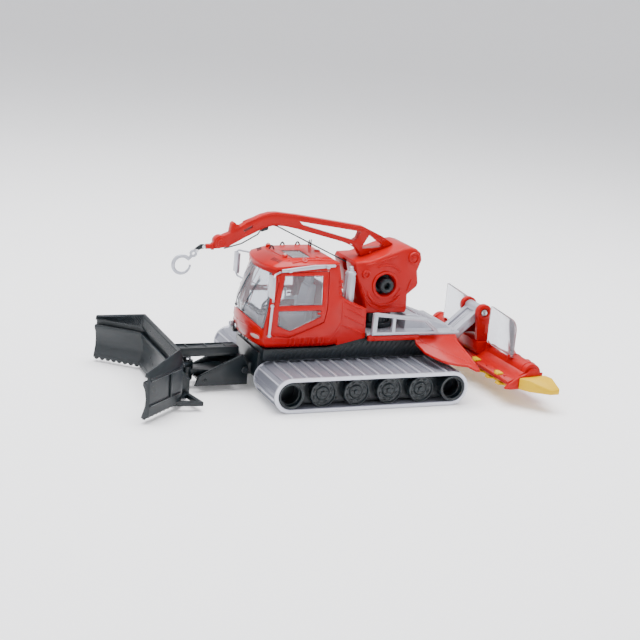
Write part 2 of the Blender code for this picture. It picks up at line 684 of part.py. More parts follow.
def make_housing():
    """The winch housing: a deep casting bored across for the drum, with a slot where the rope enters."""
    outline = housing_outline()
    chamfer = 0.7 * MM
    small = inset(outline, chamfer)
    sections = []
    for y, shape in ((-WINCH_HALF, small), (-WINCH_HALF + chamfer, outline), (WINCH_HALF - chamfer, outline),
                     (WINCH_HALF, small)):
        sections.append([(x, y, z) for x, z in shape])
    housing = loft(sections)
    bosses = []
    for x, z, radius in ((13.2, 26.2, 2.9), (-10.4, 18.6, 2.1)):
        for side in (-1, 1):
            low, high = sorted((side * (WINCH_HALF - 2 * MM), side * (WINCH_HALF + 0.6 * MM)))
            bosses.append(disc((x * MM, z * MM), radius * MM, low, high, count=20))
    housing = join(housing, *bosses)
    bore = disc((0, DRUM_Z), DRUM_BORE, -WINCH_HALF - 2 * MM, WINCH_HALF + 2 * MM, count=40)
    slot = box((-18 * MM, -2.2 * MM, 17.6 * MM), (-9.5 * MM, 2.2 * MM, 23.2 * MM))
    return cut(housing, bore, slot)


def make_drum():
    """The rope drum across the housing, with the crank knob outside on the left."""
    drum = disc((0, DRUM_Z), DRUM_BORE - RUN_GAP, -WINCH_HALF + 3 * MM, WINCH_HALF - 0.5 * MM, count=32)
    knob = disc((0, DRUM_Z), KNOB_RADIUS, -WINCH_HALF - 2.2 * MM, -WINCH_HALF + 4 * MM, count=24)
    drum = join(drum, knob)
    socket = circle((0, DRUM_Z), 1.6 * MM, 6)
    return cut(drum, prism(socket, -WINCH_HALF - 3 * MM, -WINCH_HALF + MM))


def boom_outline(points):
    """Boom points written in the toy's own heights, moved to the swivel frame."""
    return [(x * MM - TURRET_X, (z - BOOM_LIFT) * MM) for x, z in points]


def make_boom():
    """The arched boom plate with its two windows, slot, lug and round head, seated on the housing."""
    head = circle((-63.0, 67.4), 2.9, 13, math.radians(250), math.radians(70))
    arc = [(x, z) for x, z in head]
    top = [(-58.6, 71.6), (-58.0, 75.6), (-57.0, 76.4), (-56.0, 75.4), (-55.6, 73.6), (-50.0, 76.9), (-44.5, 79.6),
           (-40.5, 80.7), (-37.0, 80.9), (-26.0, 79.7), (6.0, 74.9), (16.0, 70.4), (27.0, 63.6), (27.0, 59.5)]
    under = [(5.8, 59.5), (5.6, 61.4), (2.6, 65.6), (0.5, 66.6), (-27.0, 73.6), (-33.0, 74.8), (-38.0, 75.2),
             (-42.5, 74.2), (-52.0, 69.5), (-59.4, 65.4)]
    plate = prism(boom_outline(arc + top + under), -BOOM_HALF, BOOM_HALF)
    long_window = boom_outline([(-26.0, 77.0), (4.8, 72.5), (3.6, 69.2), (2.0, 68.2), (-24.0, 75.2)])
    short_window = boom_outline([(9.4, 71.0), (17.4, 65.8), (16.6, 65.0), (6.4, 64.6), (6.2, 65.6)])
    slot = boom_outline([(-52.8, 72.9), (-48.6, 75.2), (-48.1, 74.3), (-52.3, 72.0)])
    reach = BOOM_HALF + MM
    plate = cut(plate, *[prism(shape, -reach, reach) for shape in (long_window, short_window, slot)])
    tip = rod([((-77.6) * MM, 0, 29.2 * MM), ((-84.2) * MM, 0, 29.0 * MM)], 1.2 * MM, 12)
    plate = join(plate, tip)
    seat = prism(inset(housing_outline(), -GAP), -WINCH_HALF - 2 * MM, WINCH_HALF + 2 * MM)
    return cut(plate, seat)


def make_rope_guide():
    """The black guide under the bend of the boom."""
    outline = boom_outline([(-40.4, 74.4), (-42.6, 73.8), (-44.2, 73.0), (-43.6, 71.9), (-40.6, 72.9)])
    return prism(outline, -1.0 * MM, 1.0 * MM)


def make_rope(points):
    """A taut run of the winch rope."""
    path = [(x, 0, z) for x, z in boom_outline(points)]
    return rod(path, ROPE_RADIUS, 8)


def make_hook_link():
    """The black shackle between the boom's tip and the hook."""
    outline = mm((-1.0, 0.9), (0.7, 0.9), (0.7, -0.9), (-0.9, -1.1), (-2.9, -2.0), (-3.5, -0.9))
    return prism(outline, -0.9 * MM, 0.9 * MM)


def make_hook():
    """The silver hook: an eye below the shackle and an open round throat."""
    centre = Vector((-9.3 * MM, -8.2 * MM))
    start = math.radians(42)
    end = math.radians(352)
    bend = [(x, 0, z) for x, z in circle(tuple(centre), 3.9 * MM, 17, start, end)]
    shank = [(-4.0 * MM, 0, -2.6 * MM), (-5.0 * MM, 0, -4.2 * MM)]
    hook = rod(shank + bend, 0.75 * MM, 8)
    eye = disc((-4.2 * MM, -3.2 * MM), 1.7 * MM, -0.7 * MM, 0.7 * MM, count=18)
    return join(hook, eye)


# ---------------------------------------------------------------- push frame and blade

def make_push_frame():
    """Two sloping side plates on the hinge, a beam above, and a knuckle for the swing pin."""
    plate = mm((1.5, -7.0), (1.5, 2.2), (-1.6, 7.2), (-21.6, -2.4), (-23.2, -7.0))
    frame = None
    for side in (-1, 1):
        low, high = sorted((side * (FRAME_HALF - FRAME_PLATE), side * FRAME_HALF))
        solid = prism(plate, low, high)
        frame = solid if frame is None else join(frame, solid)
    web_end = -PIN_REACH + 1.5 * MM
    web = [(-7 * MM, -FRAME_HALF + 0.2 * MM), (web_end, -2.6 * MM), (web_end, 2.6 * MM),
           (-7 * MM, FRAME_HALF - 0.2 * MM)]
    knuckle_low = -4.0 * MM
    knuckle_high = 0.6 * MM
    back = box((-3.4 * MM, -FRAME_HALF + 0.1 * MM, 3.2 * MM), (-1.9 * MM, FRAME_HALF - 0.1 * MM, 6.4 * MM))
    post = box((-3.4 * MM, -3.4 * MM, 3.4 * MM), (-1.9 * MM, 3.4 * MM, 8.0 * MM))
    beam = prism(mm((-1.8, 5.2), (-1.8, 9.4), (-29.0, 9.0), (-30.2, 8.0), (-30.2, 5.6)), -3.5 * MM, 3.5 * MM)
    rods = [rod([(-20.5 * MM, y * MM, -5.2 * MM), (-4 * MM, y * MM, -5.2 * MM)], 0.9 * MM, 10) for y in (-3.4, 3.4)]
    floor = prism(mm((-4, -8.2), (-20, -8.2), (-20, 8.2), (-4, 8.2)), -6.4 * MM, -5.3 * MM, "Z")
    pin = disc((0, 0), PIN_RADIUS, -FRAME_HALF + 0.2 * MM, FRAME_HALF - 0.2 * MM, count=20)
    frame = join(frame, floor, prism(web, knuckle_low + 1.2 * MM, knuckle_high - 1.2 * MM, "Z"),
                 disc((-PIN_REACH, 0), 3.1 * MM, knuckle_low, knuckle_high, "Z", 24), back, post, beam, pin, *rods)
    bore = disc((-PIN_REACH, 0), PIN_RADIUS + RUN_GAP, knuckle_low - MM, knuckle_high + MM, "Z", 20)
    return cut(frame, bore)


def make_swing_pin():
    """The bright upright pin that the blade swings on."""
    shaft = disc((-PIN_REACH, 0), PIN_RADIUS, -6.2 * MM, 4.4 * MM, "Z", 20)
    return join(shaft, disc((-PIN_REACH, 0), PIN_RADIUS * 1.7, 3.4 * MM, 4.6 * MM, "Z", 20))


def make_blade():
    """The S-profiled mouldboard with both wings folded forward, snow guard, back ribs and hinge lugs."""
    lip = -(BLADE_BACK + BLADE_DEPTH)
    line = [Vector((lip - WING_FORWARD, -BLADE_HALF - WING_OUT)), Vector((lip, -BLADE_HALF)),
            Vector((lip, BLADE_HALF)), Vector((lip - WING_FORWARD, BLADE_HALF + WING_OUT))]
    wing = (line[0] - line[1]).normalized()
    rear = Vector((1, 0))
    wing_rear = Vector((-wing.y, wing.x))
    if wing_rear.x < 0:
        wing_rear = -wing_rear
    corner = (rear + wing_rear) / (1 + rear.dot(wing_rear))
    normals = [wing_rear, corner, Vector((corner.x, -corner.y)), Vector((wing_rear.x, -wing_rear.y))]
    tops = [22.2, 26.8, 26.8, 22.2]
    sections = []
    for point, normal, top in zip(line, normals, tops):
        ring = []
        for depth, height in BLADE_PROFILE:
            z = (top if height is None else height) * MM
            if height is None and depth < 1.0:
                z -= 0.4 * MM
            spot = point + normal * depth * MM
            ring.append((spot.x, spot.y, z - HINGE_Z))
        sections.append(ring)
    blade = loft(sections)
    back = -BLADE_BACK
    block = prism([(back - MM, 3.0 * MM - HINGE_Z), (back - MM, 10.6 * MM - HINGE_Z),
                   (-4.0 * MM, 10.6 * MM - HINGE_Z), (-4.0 * MM, 3.0 * MM - HINGE_Z)], -19 * MM, 19 * MM)
    extra = [block]
    gusset = [(back - MM, 9 * MM - HINGE_Z), (back - MM, 19.5 * MM - HINGE_Z), (-5.2 * MM, 10.3 * MM - HINGE_Z),
              (-5.2 * MM, 9 * MM - HINGE_Z)]
    for y in (-18.4, -9.5, 9.5, 18.4):
        extra.append(prism(gusset, (y - 0.6) * MM, (y + 0.6) * MM))
    blade = join(blade, *extra)
    swing_room = disc((0, 0), 7.2 * MM, -7.6 * MM, 8 * MM, "Z", 32)
    blade = cut(blade, swing_room)
    for low, high in ((-6.0, -4.3), (0.9, 2.9)):
        lug = circle((0, 0), 3.0 * MM, 13, -math.pi / 2, math.pi / 2)
        lug += [(back - 0.5 * MM, 4.5 * MM), (back - 0.5 * MM, -4.5 * MM)]
        blade = join(blade, prism(lug, low * MM, high * MM, "Z"))
    blade = cut(blade, disc((0, 0), PIN_RADIUS + RUN_GAP, -9 * MM, 9 * MM, "Z", 20))
    for side in (-1, 1):
        loop = [(-15.2 * MM, side * (BLADE_HALF + 3.8 * MM)), (-1.8 * MM, side * (BLADE_HALF + 5.6 * MM)),
                (-5.0 * MM, side * 17.2 * MM)]
        hole = inset(loop, 2.0 * MM)
        low = 2.4 * MM - HINGE_Z
        ring = cut(prism(loop, low, low + 1.9 * MM, "Z"), prism(hole, low - MM, low + 3 * MM, "Z"))
        blade = join(blade, ring)
    return blade


# ---------------------------------------------------------------- tiller

def make_lift_arm():
    """The silver lift arm: two bars joined by a plate, on the chassis pin, bored for the tiller pin."""
    along = Vector((ARM_RUN, ARM_RISE)).normalized()
    across = Vector((-along.y, along.x))
    tip = Vector((ARM_RUN, ARM_RISE))

    def outline(start, end, low, high):
        return [tuple(along * a + across * b) for a, b in ((start, low), (end, low), (end, high), (start, high))]

    length = tip.length
    bars = []
    for side in (-1, 1):
        low, high = sorted((side * ARM_HALF, side * (ARM_HALF - 2.6 * MM)))
        bars.append(prism(outline(0, length, -1.9 * MM, 1.9 * MM), low, high))
    eye = disc(tuple(tip), 2.9 * MM, -ARM_HALF, ARM_HALF, count=24)
    foot = disc((0, 0), 2.1 * MM, -ARM_HALF, ARM_HALF, count=24)
    web = prism(outline(2 * MM, length - 1 * MM, -0.7 * MM, 0.9 * MM), -ARM_HALF + MM, ARM_HALF - MM)
    pin = disc((0, 0), PIN_RADIUS, -ARM_HALF - 1.6 * MM, ARM_HALF + 1.6 * MM, count=20)
    arm = join(web, bars[0], bars[1], eye, foot, pin)
    return cut(arm, disc(tuple(tip), 1.6 * MM + RUN_GAP, -ARM_HALF - MM, ARM_HALF + MM, count=20))


def make_lower_link():
    """The thin silver link under the arm, with its cross pin at the chassis."""
    end = (ARM_RUN, 0, ARM_RISE)
    bar = rod([(0, 0, 0), end], 1.0 * MM, 12)
    eye = disc((0, 0), 1.7 * MM, -1.4 * MM, 1.4 * MM, count=20)
    far = disc((ARM_RUN, ARM_RISE), 1.7 * MM, -1.4 * MM, 1.4 * MM, count=20)
    pin = disc((0, 0), LINK_PIN, -ARM_HALF - 1.6 * MM, ARM_HALF + 1.6 * MM, count=16)
    link = join(bar, eye, far, pin)
    return cut(link, disc((ARM_RUN, ARM_RISE), LINK_PIN + RUN_GAP, -3 * MM, 3 * MM, count=16))


def make_tiller_bracket():
    """The red bracket: two round bosses on legs, joined by a wall behind the link."""
    inner = ARM_HALF + GAP
    outer = inner + 2.4 * MM
    body = None
    leg = mm((-3.6, -1), (-2.2, -13.8), (4.6, -13.8), (4.6, 0), (2.5, 3), (-2.5, 3))
    for side in (-1, 1):
        low, high = sorted((side * inner, side * outer))
        plate = join(prism(leg, low, high), disc((0, 0), 4.1 * MM, low, high, count=24))
        body = plate if body is None else join(body, plate)
    wall = box((3.6 * MM, -outer + 0.2 * MM, -13.6 * MM), (4.8 * MM, outer - 0.2 * MM, -5.0 * MM))
    cross = disc((LINK_RUN, -LINK_DROP), LINK_PIN, -inner - MM, inner + MM, count=16)
    body = join(body, wall, cross)
    return cut(body, disc((0, 0), 1.6 * MM + RUN_GAP, -outer - MM, outer + MM, count=20))


def make_tiller_pin():
    """The bright pin through the bosses."""
    reach = ARM_HALF + 2.9 * MM
    return disc((0, 0), 1.6 * MM, -reach, reach, count=20)


def make_tiller_housing():
    """The red housing: a tube over a sloping apron, closed by a foot at each end."""
    tube = circle((6.5, -19.0), 4.6, 15, math.radians(-20), math.radians(170))
    section = mm(*([(15.0, -25.4), (16.4, -24.6), (15.6, -22.8)] + tube + [(-2.0, -20.8), (-6.2, -22.4),
                 (-6.0, -24.0), (-1.0, -24.6)]))
    housing = prism(section, -TILLER_HALF, TILLER_HALF)
    pad = box((-2.6 * MM, -10.2 * MM, -20 * MM), (5.2 * MM, 10.2 * MM, TILLER_TOP * MM))
    housing = join(housing, pad)
    ends = []
    foot = mm((-7.8, -25.4), (-5.0, -25.8), (12.0, -25.6), (12.0, -20.0), (8.0, -17.0), (-1.0, -20.0), (-6.0, -23.6))
    for side in (-1, 1):
        low, high = sorted((side * (TILLER_HALF - 0.2 * MM), side * (TILLER_HALF + 1.4 * MM)))
        ends.append(prism(foot, low, high))
    housing = join(housing, *ends)
    return housing


def make_tiller_comb():
    """The wavy red comb that stands along the back of the housing."""
    count = 49
    half = TILLER_HALF - 1.5 * MM
    low = -20.9 * MM
    top = []
    for i in range(count):
        y = -half + 2 * half * i / (count - 1)
        share = abs(y) / half
        wave = 1.5 * MM * math.cos(share * 5.5 * math.pi)
        top.append((y, -15.6 * MM - 3.4 * MM * share + wave))
    return prism([(-half, low), *top, (half, low)], 12.4 * MM, 13.6 * MM, "X")


def make_tiller_rotor():
    """The yellow toothed bar that shows along the housing's lower front edge."""
    bar = box((-3.4 * MM, -TILLER_HALF + 2 * MM, -26.6 * MM), (9.0 * MM, TILLER_HALF - 2 * MM, -25.6 * MM))
    teeth = []
    for i in range(-4, 5):
        y = i * (TILLER_HALF - 8 * MM) / 4
        tooth = mm((-7.0, -25.9), (-3.0, -26.4), (-3.0, -25.7), (-6.4, -24.9))
        teeth.append(prism(tooth, y - 1.6 * MM, y + 1.6 * MM))
    return bar, teeth


def make_finisher():
    """The end finisher: a wedge that tapers outwards."""
    root = TILLER_HALF + 1.4 * MM + GAP
    tip = root + 11.5 * MM
    sections = []
    for y, front, rear, low, top in ((root, -1.0, 13.0, -25.6, -19.4), (root + 5 * MM, 1.5, 13.5, -25.5, -19.2),
                                     (tip, 9.5, 14.0, -25.2, -22.4)):
        sections.append([(front * MM, -y, low * MM), (rear * MM, -y, low * MM), (rear * MM, -y, top * MM),
                         (front * MM, -y, (top - 0.8) * MM)])
    return loft(sections)


def make_screen(side):
    """A clear upright panel; both sides use one moulding, so its round corner points the same way."""
    low_y = -34.0 if side < 0 else 10.6
    high_y = low_y + 23.4
    corner = circle((low_y + 5.0, -2.2), 5.0, 7, math.radians(90), math.radians(180))
    outline = mm(*([(low_y, -15.0), (high_y, -14.2), (high_y, 4.0)] + corner))
    front = 2.0 * MM
    return prism(outline, front, front + SCREEN_THICKNESS, "X")


# ---------------------------------------------------------------- assembly

def centre_over_origin(root):
    """Move the whole assembly so that its box stands centred on the origin."""
    bpy.context.view_layer.update()
    corners = []
    for obj in bpy.data.objects:
        if obj.type == "MESH":
            corners += [obj.matrix_world @ vertex.co for vertex in obj.data.vertices]
    low = [min(corner[axis] for corner in corners) for axis in range(3)]
    high = [max(corner[axis] for corner in corners) for axis in range(3)]
    root.location = (-(low[0] + high[0]) / 2, -(low[1] + high[1]) / 2, -low[2])
    bpy.context.view_layer.update()


def main():
    for obj in list(bpy.data.objects):
        bpy.data.objects.remove(obj)

    root = frame_empty("model_frame", (0, 0, 0))
    axle = frame_empty("axle_frame", (0, 0, TRACK_HEIGHT / 2), root)
    track = make_track()
    gear = make_running_gear()
    piece("left_track", track, "silver", axle)
    piece("right_track", mirrored(track), "silver", axle)
    piece("left_running_gear", gear, "black", axle)
    piece("right_running_gear", mirrored(gear), "black", axle)
    piece("chassis_hull", make_hull(), "black", root)

    body = frame_empty("body_frame", (0, 0, TRACK_HEIGHT), root)
    piece("turret_base", make_turret_base(), "black", body)
    piece("rear_deck", make_deck(), "silver", body)
    for name, maker, finish in (("deck_rail", make_deck_rail, "silver"), ("fender", make_fender, "red"),
                                ("roof_rail", make_roof_rail, "silver"), ("mirror", make_mirror, "silver"),
                                ("grab_rail", make_grab_rail, "silver")):
        left = maker()
        piece("left_" + name, left, finish, body)
        piece("right_" + name, mirrored(left), finish, body)
    for name, mesh in make_cab_parts().items():
        piece(name, mesh, "clear" if "window" in name or "windscreen" in name else "red", body)
    piece("cab_roof", make_roof(), "red", body)
    piece("skylight", make_skylight(), "clear", body)
    piece("cab_seat", make_seat(), "grey", body)
    piece("cab_console", make_console(), "grey", body)
    piece("exhaust_stack", make_exhaust(), "silver", body)

    swivel = frame_empty("swivel_frame", (TURRET_X, 0, WINCH_BASE), body)
    piece("winch_housing", make_housing(), "red", swivel)
    piece("boom", make_boom(), "red", swivel)
    piece("rope_guide", make_rope_guide(), "black", swivel)
    piece("rope_lower_run", make_rope([(2.4, 56.6), (-36.0, 74.4)]), "black", swivel)
    piece("rope_upper_run", make_rope([(-44.2, 72.6), (-59.6, 64.6)]), "black", swivel)
    piece("winch_drum", make_drum(), "black", swivel)
    hook = frame_empty("hook_frame", (HOOK_PIN[0], 0, HOOK_PIN[1]), swivel)
    piece("hook_link", make_hook_link(), "black", hook)
    piece("hook", make_hook(), "silver", hook)

    hinge = frame_empty("push_frame_hinge", (-HULL_FRONT - HINGE_REACH, 0, HINGE_Z), root)
    piece("push_frame", make_push_frame(), "black", hinge)
    piece("swing_pin", make_swing_pin(), "steel", hinge)
    swing = frame_empty("blade_swing", (-PIN_REACH, 0, 0), hinge)
    piece("blade", make_blade(), "black", swing)

    lift = frame_empty("lift_hinge", (HULL_REAR + LIFT_REACH, 0, LIFT_Z), root)
    piece("lift_arm", make_lift_arm(), "silver", lift)
    link = frame_empty("link_hinge", (HULL_REAR + LIFT_REACH + LINK_RUN, 0, LIFT_Z - LINK_DROP), root)
    piece("lower_link", make_lower_link(), "silver", link)
    tiller = frame_empty("tiller_hinge", (ARM_RUN, 0, ARM_RISE), lift)
    piece("tiller_bracket", make_tiller_bracket(), "red", tiller)
    piece("tiller_pin", make_tiller_pin(), "steel", tiller)
    piece("tiller_housing", make_tiller_housing(), "red", tiller)
    piece("tiller_comb", make_tiller_comb(), "red", tiller)
    finisher = make_finisher()
    piece("left_finisher", finisher, "yellow", tiller)
    piece("right_finisher", mirrored(finisher), "red", tiller)
    piece("left_screen", make_screen(-1), "clear", tiller)
    piece("right_screen", make_screen(1), "clear", tiller)
    bar, teeth = make_tiller_rotor()
    piece("tiller_rotor", join(bar, *teeth), "yellow", tiller)

    centre_over_origin(root)


main()
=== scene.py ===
import json
import math
import bpy
from mathutils import Matrix, Vector


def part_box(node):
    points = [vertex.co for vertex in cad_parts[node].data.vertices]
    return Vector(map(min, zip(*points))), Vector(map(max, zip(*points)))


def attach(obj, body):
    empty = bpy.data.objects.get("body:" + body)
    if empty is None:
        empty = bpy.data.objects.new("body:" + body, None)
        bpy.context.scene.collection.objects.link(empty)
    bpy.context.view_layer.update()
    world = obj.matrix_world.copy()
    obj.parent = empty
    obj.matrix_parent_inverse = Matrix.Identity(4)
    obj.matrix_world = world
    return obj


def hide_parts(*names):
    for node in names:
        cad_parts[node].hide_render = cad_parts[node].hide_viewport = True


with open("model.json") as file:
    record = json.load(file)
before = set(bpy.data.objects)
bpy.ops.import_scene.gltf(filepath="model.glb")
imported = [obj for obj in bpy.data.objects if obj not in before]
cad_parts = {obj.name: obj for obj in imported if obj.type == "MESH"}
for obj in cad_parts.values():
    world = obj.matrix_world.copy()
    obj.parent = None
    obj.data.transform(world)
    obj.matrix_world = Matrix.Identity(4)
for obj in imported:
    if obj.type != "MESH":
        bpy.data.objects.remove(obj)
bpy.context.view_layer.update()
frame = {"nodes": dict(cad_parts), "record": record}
nodes = frame["nodes"]
mm = 0.001

trackLow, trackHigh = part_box("left_track")
middleX = (trackLow.x + trackHigh.x) / 2          # half way along the tracks
trackTop = trackHigh.z


def at(x, y, z):
    return Vector((middleX + x * mm, y * mm, z * mm))


print("frame loaded")

def take(obj):                                    # obj becomes the only selected object
    bpy.ops.object.select_all(action="DESELECT")
    obj.select_set(True)
    bpy.context.view_layer.objects.active = obj
    return obj


def inEdit(obj, *steps):                          # run edit-mode steps on the whole mesh
    take(obj)
    bpy.ops.object.mode_set(mode="EDIT")
    bpy.ops.mesh.select_all(action="SELECT")
    for step in steps:
        step()
    bpy.ops.object.mode_set(mode="OBJECT")
    return obj


def outward():
    bpy.ops.mesh.select_all(action="SELECT")
    bpy.ops.mesh.remove_doubles(threshold=0.004 * mm)
    bpy.ops.mesh.normals_make_consistent(inside=False)


def rounded(obj, width, segments=2, angle=38):    # bevel every sharp edge and smooth the rest
    take(obj)
    bevel = obj.modifiers.new("edges", "BEVEL")
    bevel.width = width * mm
    bevel.segments = segments
    bevel.limit_method = "ANGLE"
    bevel.angle_limit = math.radians(angle)
    bevel.use_clamp_overlap = True
    bpy.ops.object.modifier_apply(modifier=bevel.name)
    bpy.ops.object.shade_smooth_by_angle(angle=math.radians(35))
    return obj


def plate(outline, low, high, axis="Y", edge=0.0):
    # outline in mm: axis Y takes (x, z), X takes (y, z), Z takes (x, y)
    # low and high are along the axis
    place = {"X": lambda a, b: at(low, a, b),
             "Y": lambda a, b: at(a, low, b), "Z": lambda a, b: at(a, b, low)}[axis]
    bpy.ops.object.select_all(action="DESELECT")
    bpy.ops.mesh.primitive_circle_add(vertices=len(outline), radius=mm, fill_type="NGON")
    obj = bpy.context.object
    for vertex, (a, b) in zip(obj.data.vertices, outline):
        vertex.co = place(a, b)
    reach = {"X": (1, 0, 0), "Y": (0, 1, 0), "Z": (0, 0, 1)}[axis]
    move = {"value": Vector(reach) * (high - low) * mm}
    inEdit(obj, lambda: bpy.ops.mesh.extrude_region_move(TRANSFORM_OT_translate=move), outward)
    if edge:
        rounded(obj, edge)
    return obj


def turned(profile, centre, direction, steps=32):
    # profile in mm: closed (radius, height) points, spun round the direction through the centre
    bpy.ops.object.select_all(action="DESELECT")
    bpy.ops.mesh.primitive_circle_add(vertices=len(profile), radius=mm, fill_type="NOTHING")
    obj = bpy.context.object
    for vertex, (radius, height) in zip(obj.data.vertices, profile):
        vertex.co = (radius * mm, 0, height * mm)

    def sweep():
        bpy.ops.mesh.spin(steps=steps, angle=2 * math.pi, center=(0, 0, 0), axis=(0, 0, 1))

    def tidyAxis():
        bpy.ops.mesh.select_all(action="SELECT")
        bpy.ops.mesh.delete_loose(use_verts=True, use_edges=True, use_faces=False)

    inEdit(obj, sweep, outward, tidyAxis, outward)
    turn = Vector(direction).to_track_quat("Z", "Y").to_matrix().to_4x4()
    obj.data.transform(Matrix.Translation(centre) @ turn)
    take(obj)
    bpy.ops.object.shade_smooth_by_angle(angle=math.radians(35))
    return obj


def wire(points, radius, smooth=True, closed=False, taper=None, sides=3):
    # a round bar in mm along points that are already in the frame
    data = bpy.data.curves.new("wire", "CURVE")
    data.dimensions = "3D"
    data.bevel_depth = radius * mm
    data.bevel_resolution = sides
    data.use_fill_caps = not closed
    spline = data.splines.new("NURBS" if smooth else "POLY")
    spline.points.add(len(points) - 1)
    for i, (knot, point) in enumerate(zip(spline.points, points)):
        knot.co = (*point, 1.0)
        knot.radius = taper[i] if taper else 1.0
    spline.use_cyclic_u = closed
    if smooth:
        spline.order_u = 3
        spline.use_endpoint_u = not closed
        spline.resolution_u = 6
    obj = bpy.data.objects.new("wire", data)
    bpy.context.scene.collection.objects.link(obj)
    take(obj)
    bpy.ops.object.convert(target="MESH")
    obj = bpy.context.object
    inEdit(obj, outward)
    take(obj)
    bpy.ops.object.shade_smooth_by_angle(angle=math.radians(50))
    return obj


def block(centre, size, edge=0.2, segments=2):    # a rounded block, centre in the frame and size in mm
    bpy.ops.object.select_all(action="DESELECT")
    bpy.ops.mesh.primitive_cube_add(size=1, location=centre, scale=[s * mm for s in size])
    obj = bpy.context.object
    take(obj)
    bpy.ops.object.transform_apply(location=True, rotation=True, scale=True)
    return rounded(obj, edge, segments)


def copied(obj, matrix):
    twin = bpy.data.objects.new(obj.name, obj.data.copy())
    bpy.context.scene.collection.objects.link(twin)
    twin.data.transform(matrix)
    return twin


def mirrored(obj):                                # a copy for the other side
    twin = copied(obj, Matrix.Scale(-1, 4, (0, 1, 0)))
    return inEdit(twin, outward)


def joined(parts):
    bpy.ops.object.select_all(action="DESELECT")
    for part in parts:
        part.select_set(True)
    bpy.context.view_layer.objects.active = parts[0]
    bpy.ops.object.join()
    return bpy.context.object


def place(name, obj, body, slotName, look=None):
    # name a finished piece, give it its finish and let it ride
    obj.name = name
    obj.data.name = name
    take(obj)
    bpy.ops.object.transform_apply(location=True, rotation=True, scale=True)
    obj.data.materials.clear()
    obj.data.materials.append(look or finishes[slotName])
    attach(obj, body)
    return obj


def both(name, obj, body, slotName, look=None):   # a left piece and its mirrored right twin
    twin = mirrored(obj)
    place("left_" + name, obj, body, slotName, look)
    place("right_" + name, twin, body, slotName, look)


def onSurface(node, start, direction, lift=0.0):
    # where a ray from start meets a CAD node, and the face's direction there
    bpy.context.view_layer.update()
    skin = mouldings.get(node, nodes[node])
    hit, spot, normal = skin.ray_cast(start, Vector(direction).normalized())[:3]
    if not hit:
        raise ValueError("no surface of " + node + " in that direction")
    return spot + normal * lift * mm, normal


def arc(radius, start, end, count):               # points in mm on a flat arc, angles in degrees
    angles = [math.radians(start + (end - start) * i / (count - 1)) for i in range(count)]
    return [(radius * math.cos(a), radius * math.sin(a)) for a in angles]


def tone(code):                                   # an sRGB hex value as a linear colour
    parts = [int(code[i:i + 2], 16) / 255 for i in (1, 3, 5)]
    return [p / 12.92 if p <= 0.04045 else ((p + 0.055) / 1.055) ** 2.4 for p in parts] + [1.0]


def addNode(tree, kind, settings, links=None):    # a node with its settings and links
    node = tree.nodes.new(kind)
    for key, value in settings.items():
        if isinstance(key, int) or key in node.inputs:
            node.inputs[key].default_value = value
        else:
            setattr(node, key, value)
    for key, source in (links or {}).items():
        tree.links.new(source, node.inputs[key])
    return node


def perSize(size):                                # a texture scale whose features are this many mm wide
    return 1.0 / (size * mm)


def newMaterial(name):
    material = bpy.data.materials.new(name)
    material.use_nodes = True
    tree = material.node_tree
    tree.nodes.clear()
    out = addNode(tree, "ShaderNodeOutputMaterial", {})
    spot = addNode(tree, "ShaderNodeTexCoord", {})
    return material, tree, out, spot.outputs["Object"]


def sprayedEnamel(name, values):
    # gloss enamel sprayed on a zinc casting: fine orange peel, faint pooling of colour, a wet clear top
    material, tree, out, spot = newMaterial(name)
    pool = addNode(tree, "ShaderNodeTexNoise", {"Scale": perSize(values["poolSize"]), "Detail": 3.0},
                   {"Vector": spot})
    mixed = addNode(tree, "ShaderNodeMix", {"data_type": "RGBA", 6: tone(values["colour"]),
                                            7: tone(values["deepColour"])}, {0: pool.outputs["Fac"]})
    peel = addNode(tree, "ShaderNodeTexNoise", {"Scale": perSize(values["peelSize"]), "Detail": 2.0},
                   {"Vector": spot})
    rough = addNode(tree, "ShaderNodeMapRange",
                    {"To Min": values["roughness"] - 0.04, "To Max": values["roughness"] + 0.05},
                    {"Value": pool.outputs["Fac"]})
    bump = addNode(tree, "ShaderNodeBump", {"Strength": 0.10, "Distance": values["peelDepth"] * mm},
                   {"Height": peel.outputs["Fac"]})
    shader = addNode(tree, "ShaderNodeBsdfPrincipled",
                     {"Coat Weight": values["coat"], "Coat Roughness": 0.05, "IOR": values["bend"]},
                     {"Base Color": mixed.outputs[2], "Roughness": rough.outputs["Result"],
                      "Normal": bump.outputs["Normal"]})
    tree.links.new(shader.outputs["BSDF"], out.inputs["Surface"])
    return material


def mouldedPlastic(name, values):
    # injection-moulded ABS: the mould's fine grain, faint flow marks, a soft sheen that varies with them
    material, tree, out, spot = newMaterial(name)
    flow = addNode(tree, "ShaderNodeTexNoise", {"Scale": perSize(values["flowSize"]), "Detail": 4.0,
                                                "Distortion": 1.2}, {"Vector": spot})
    mixed = addNode(tree, "ShaderNodeMix", {"data_type": "RGBA", 6: tone(values["colour"]),
                                            7: tone(values["otherColour"])}, {0: flow.outputs["Fac"]})
    grain = addNode(tree, "ShaderNodeTexNoise", {"Scale": perSize(values["grainSize"]), "Detail": 2.0},
                    {"Vector": spot})
    rough = addNode(tree, "ShaderNodeMapRange",
                    {"To Min": values["roughness"] - 0.06, "To Max": values["roughness"] + 0.06},
                    {"Value": flow.outputs["Fac"]})
    bump = addNode(tree, "ShaderNodeBump", {"Strength": values["grainStrength"], "Distance": 0.03 * mm},
                   {"Height": grain.outputs["Fac"]})
    shader = addNode(tree, "ShaderNodeBsdfPrincipled",
                     {"IOR": values.get("bend", 1.5)},
                     {"Base Color": mixed.outputs[2], "Roughness": rough.outputs["Result"],
                      "Normal": bump.outputs["Normal"]})
    tree.links.new(shader.outputs["BSDF"], out.inputs["Surface"])
    return material


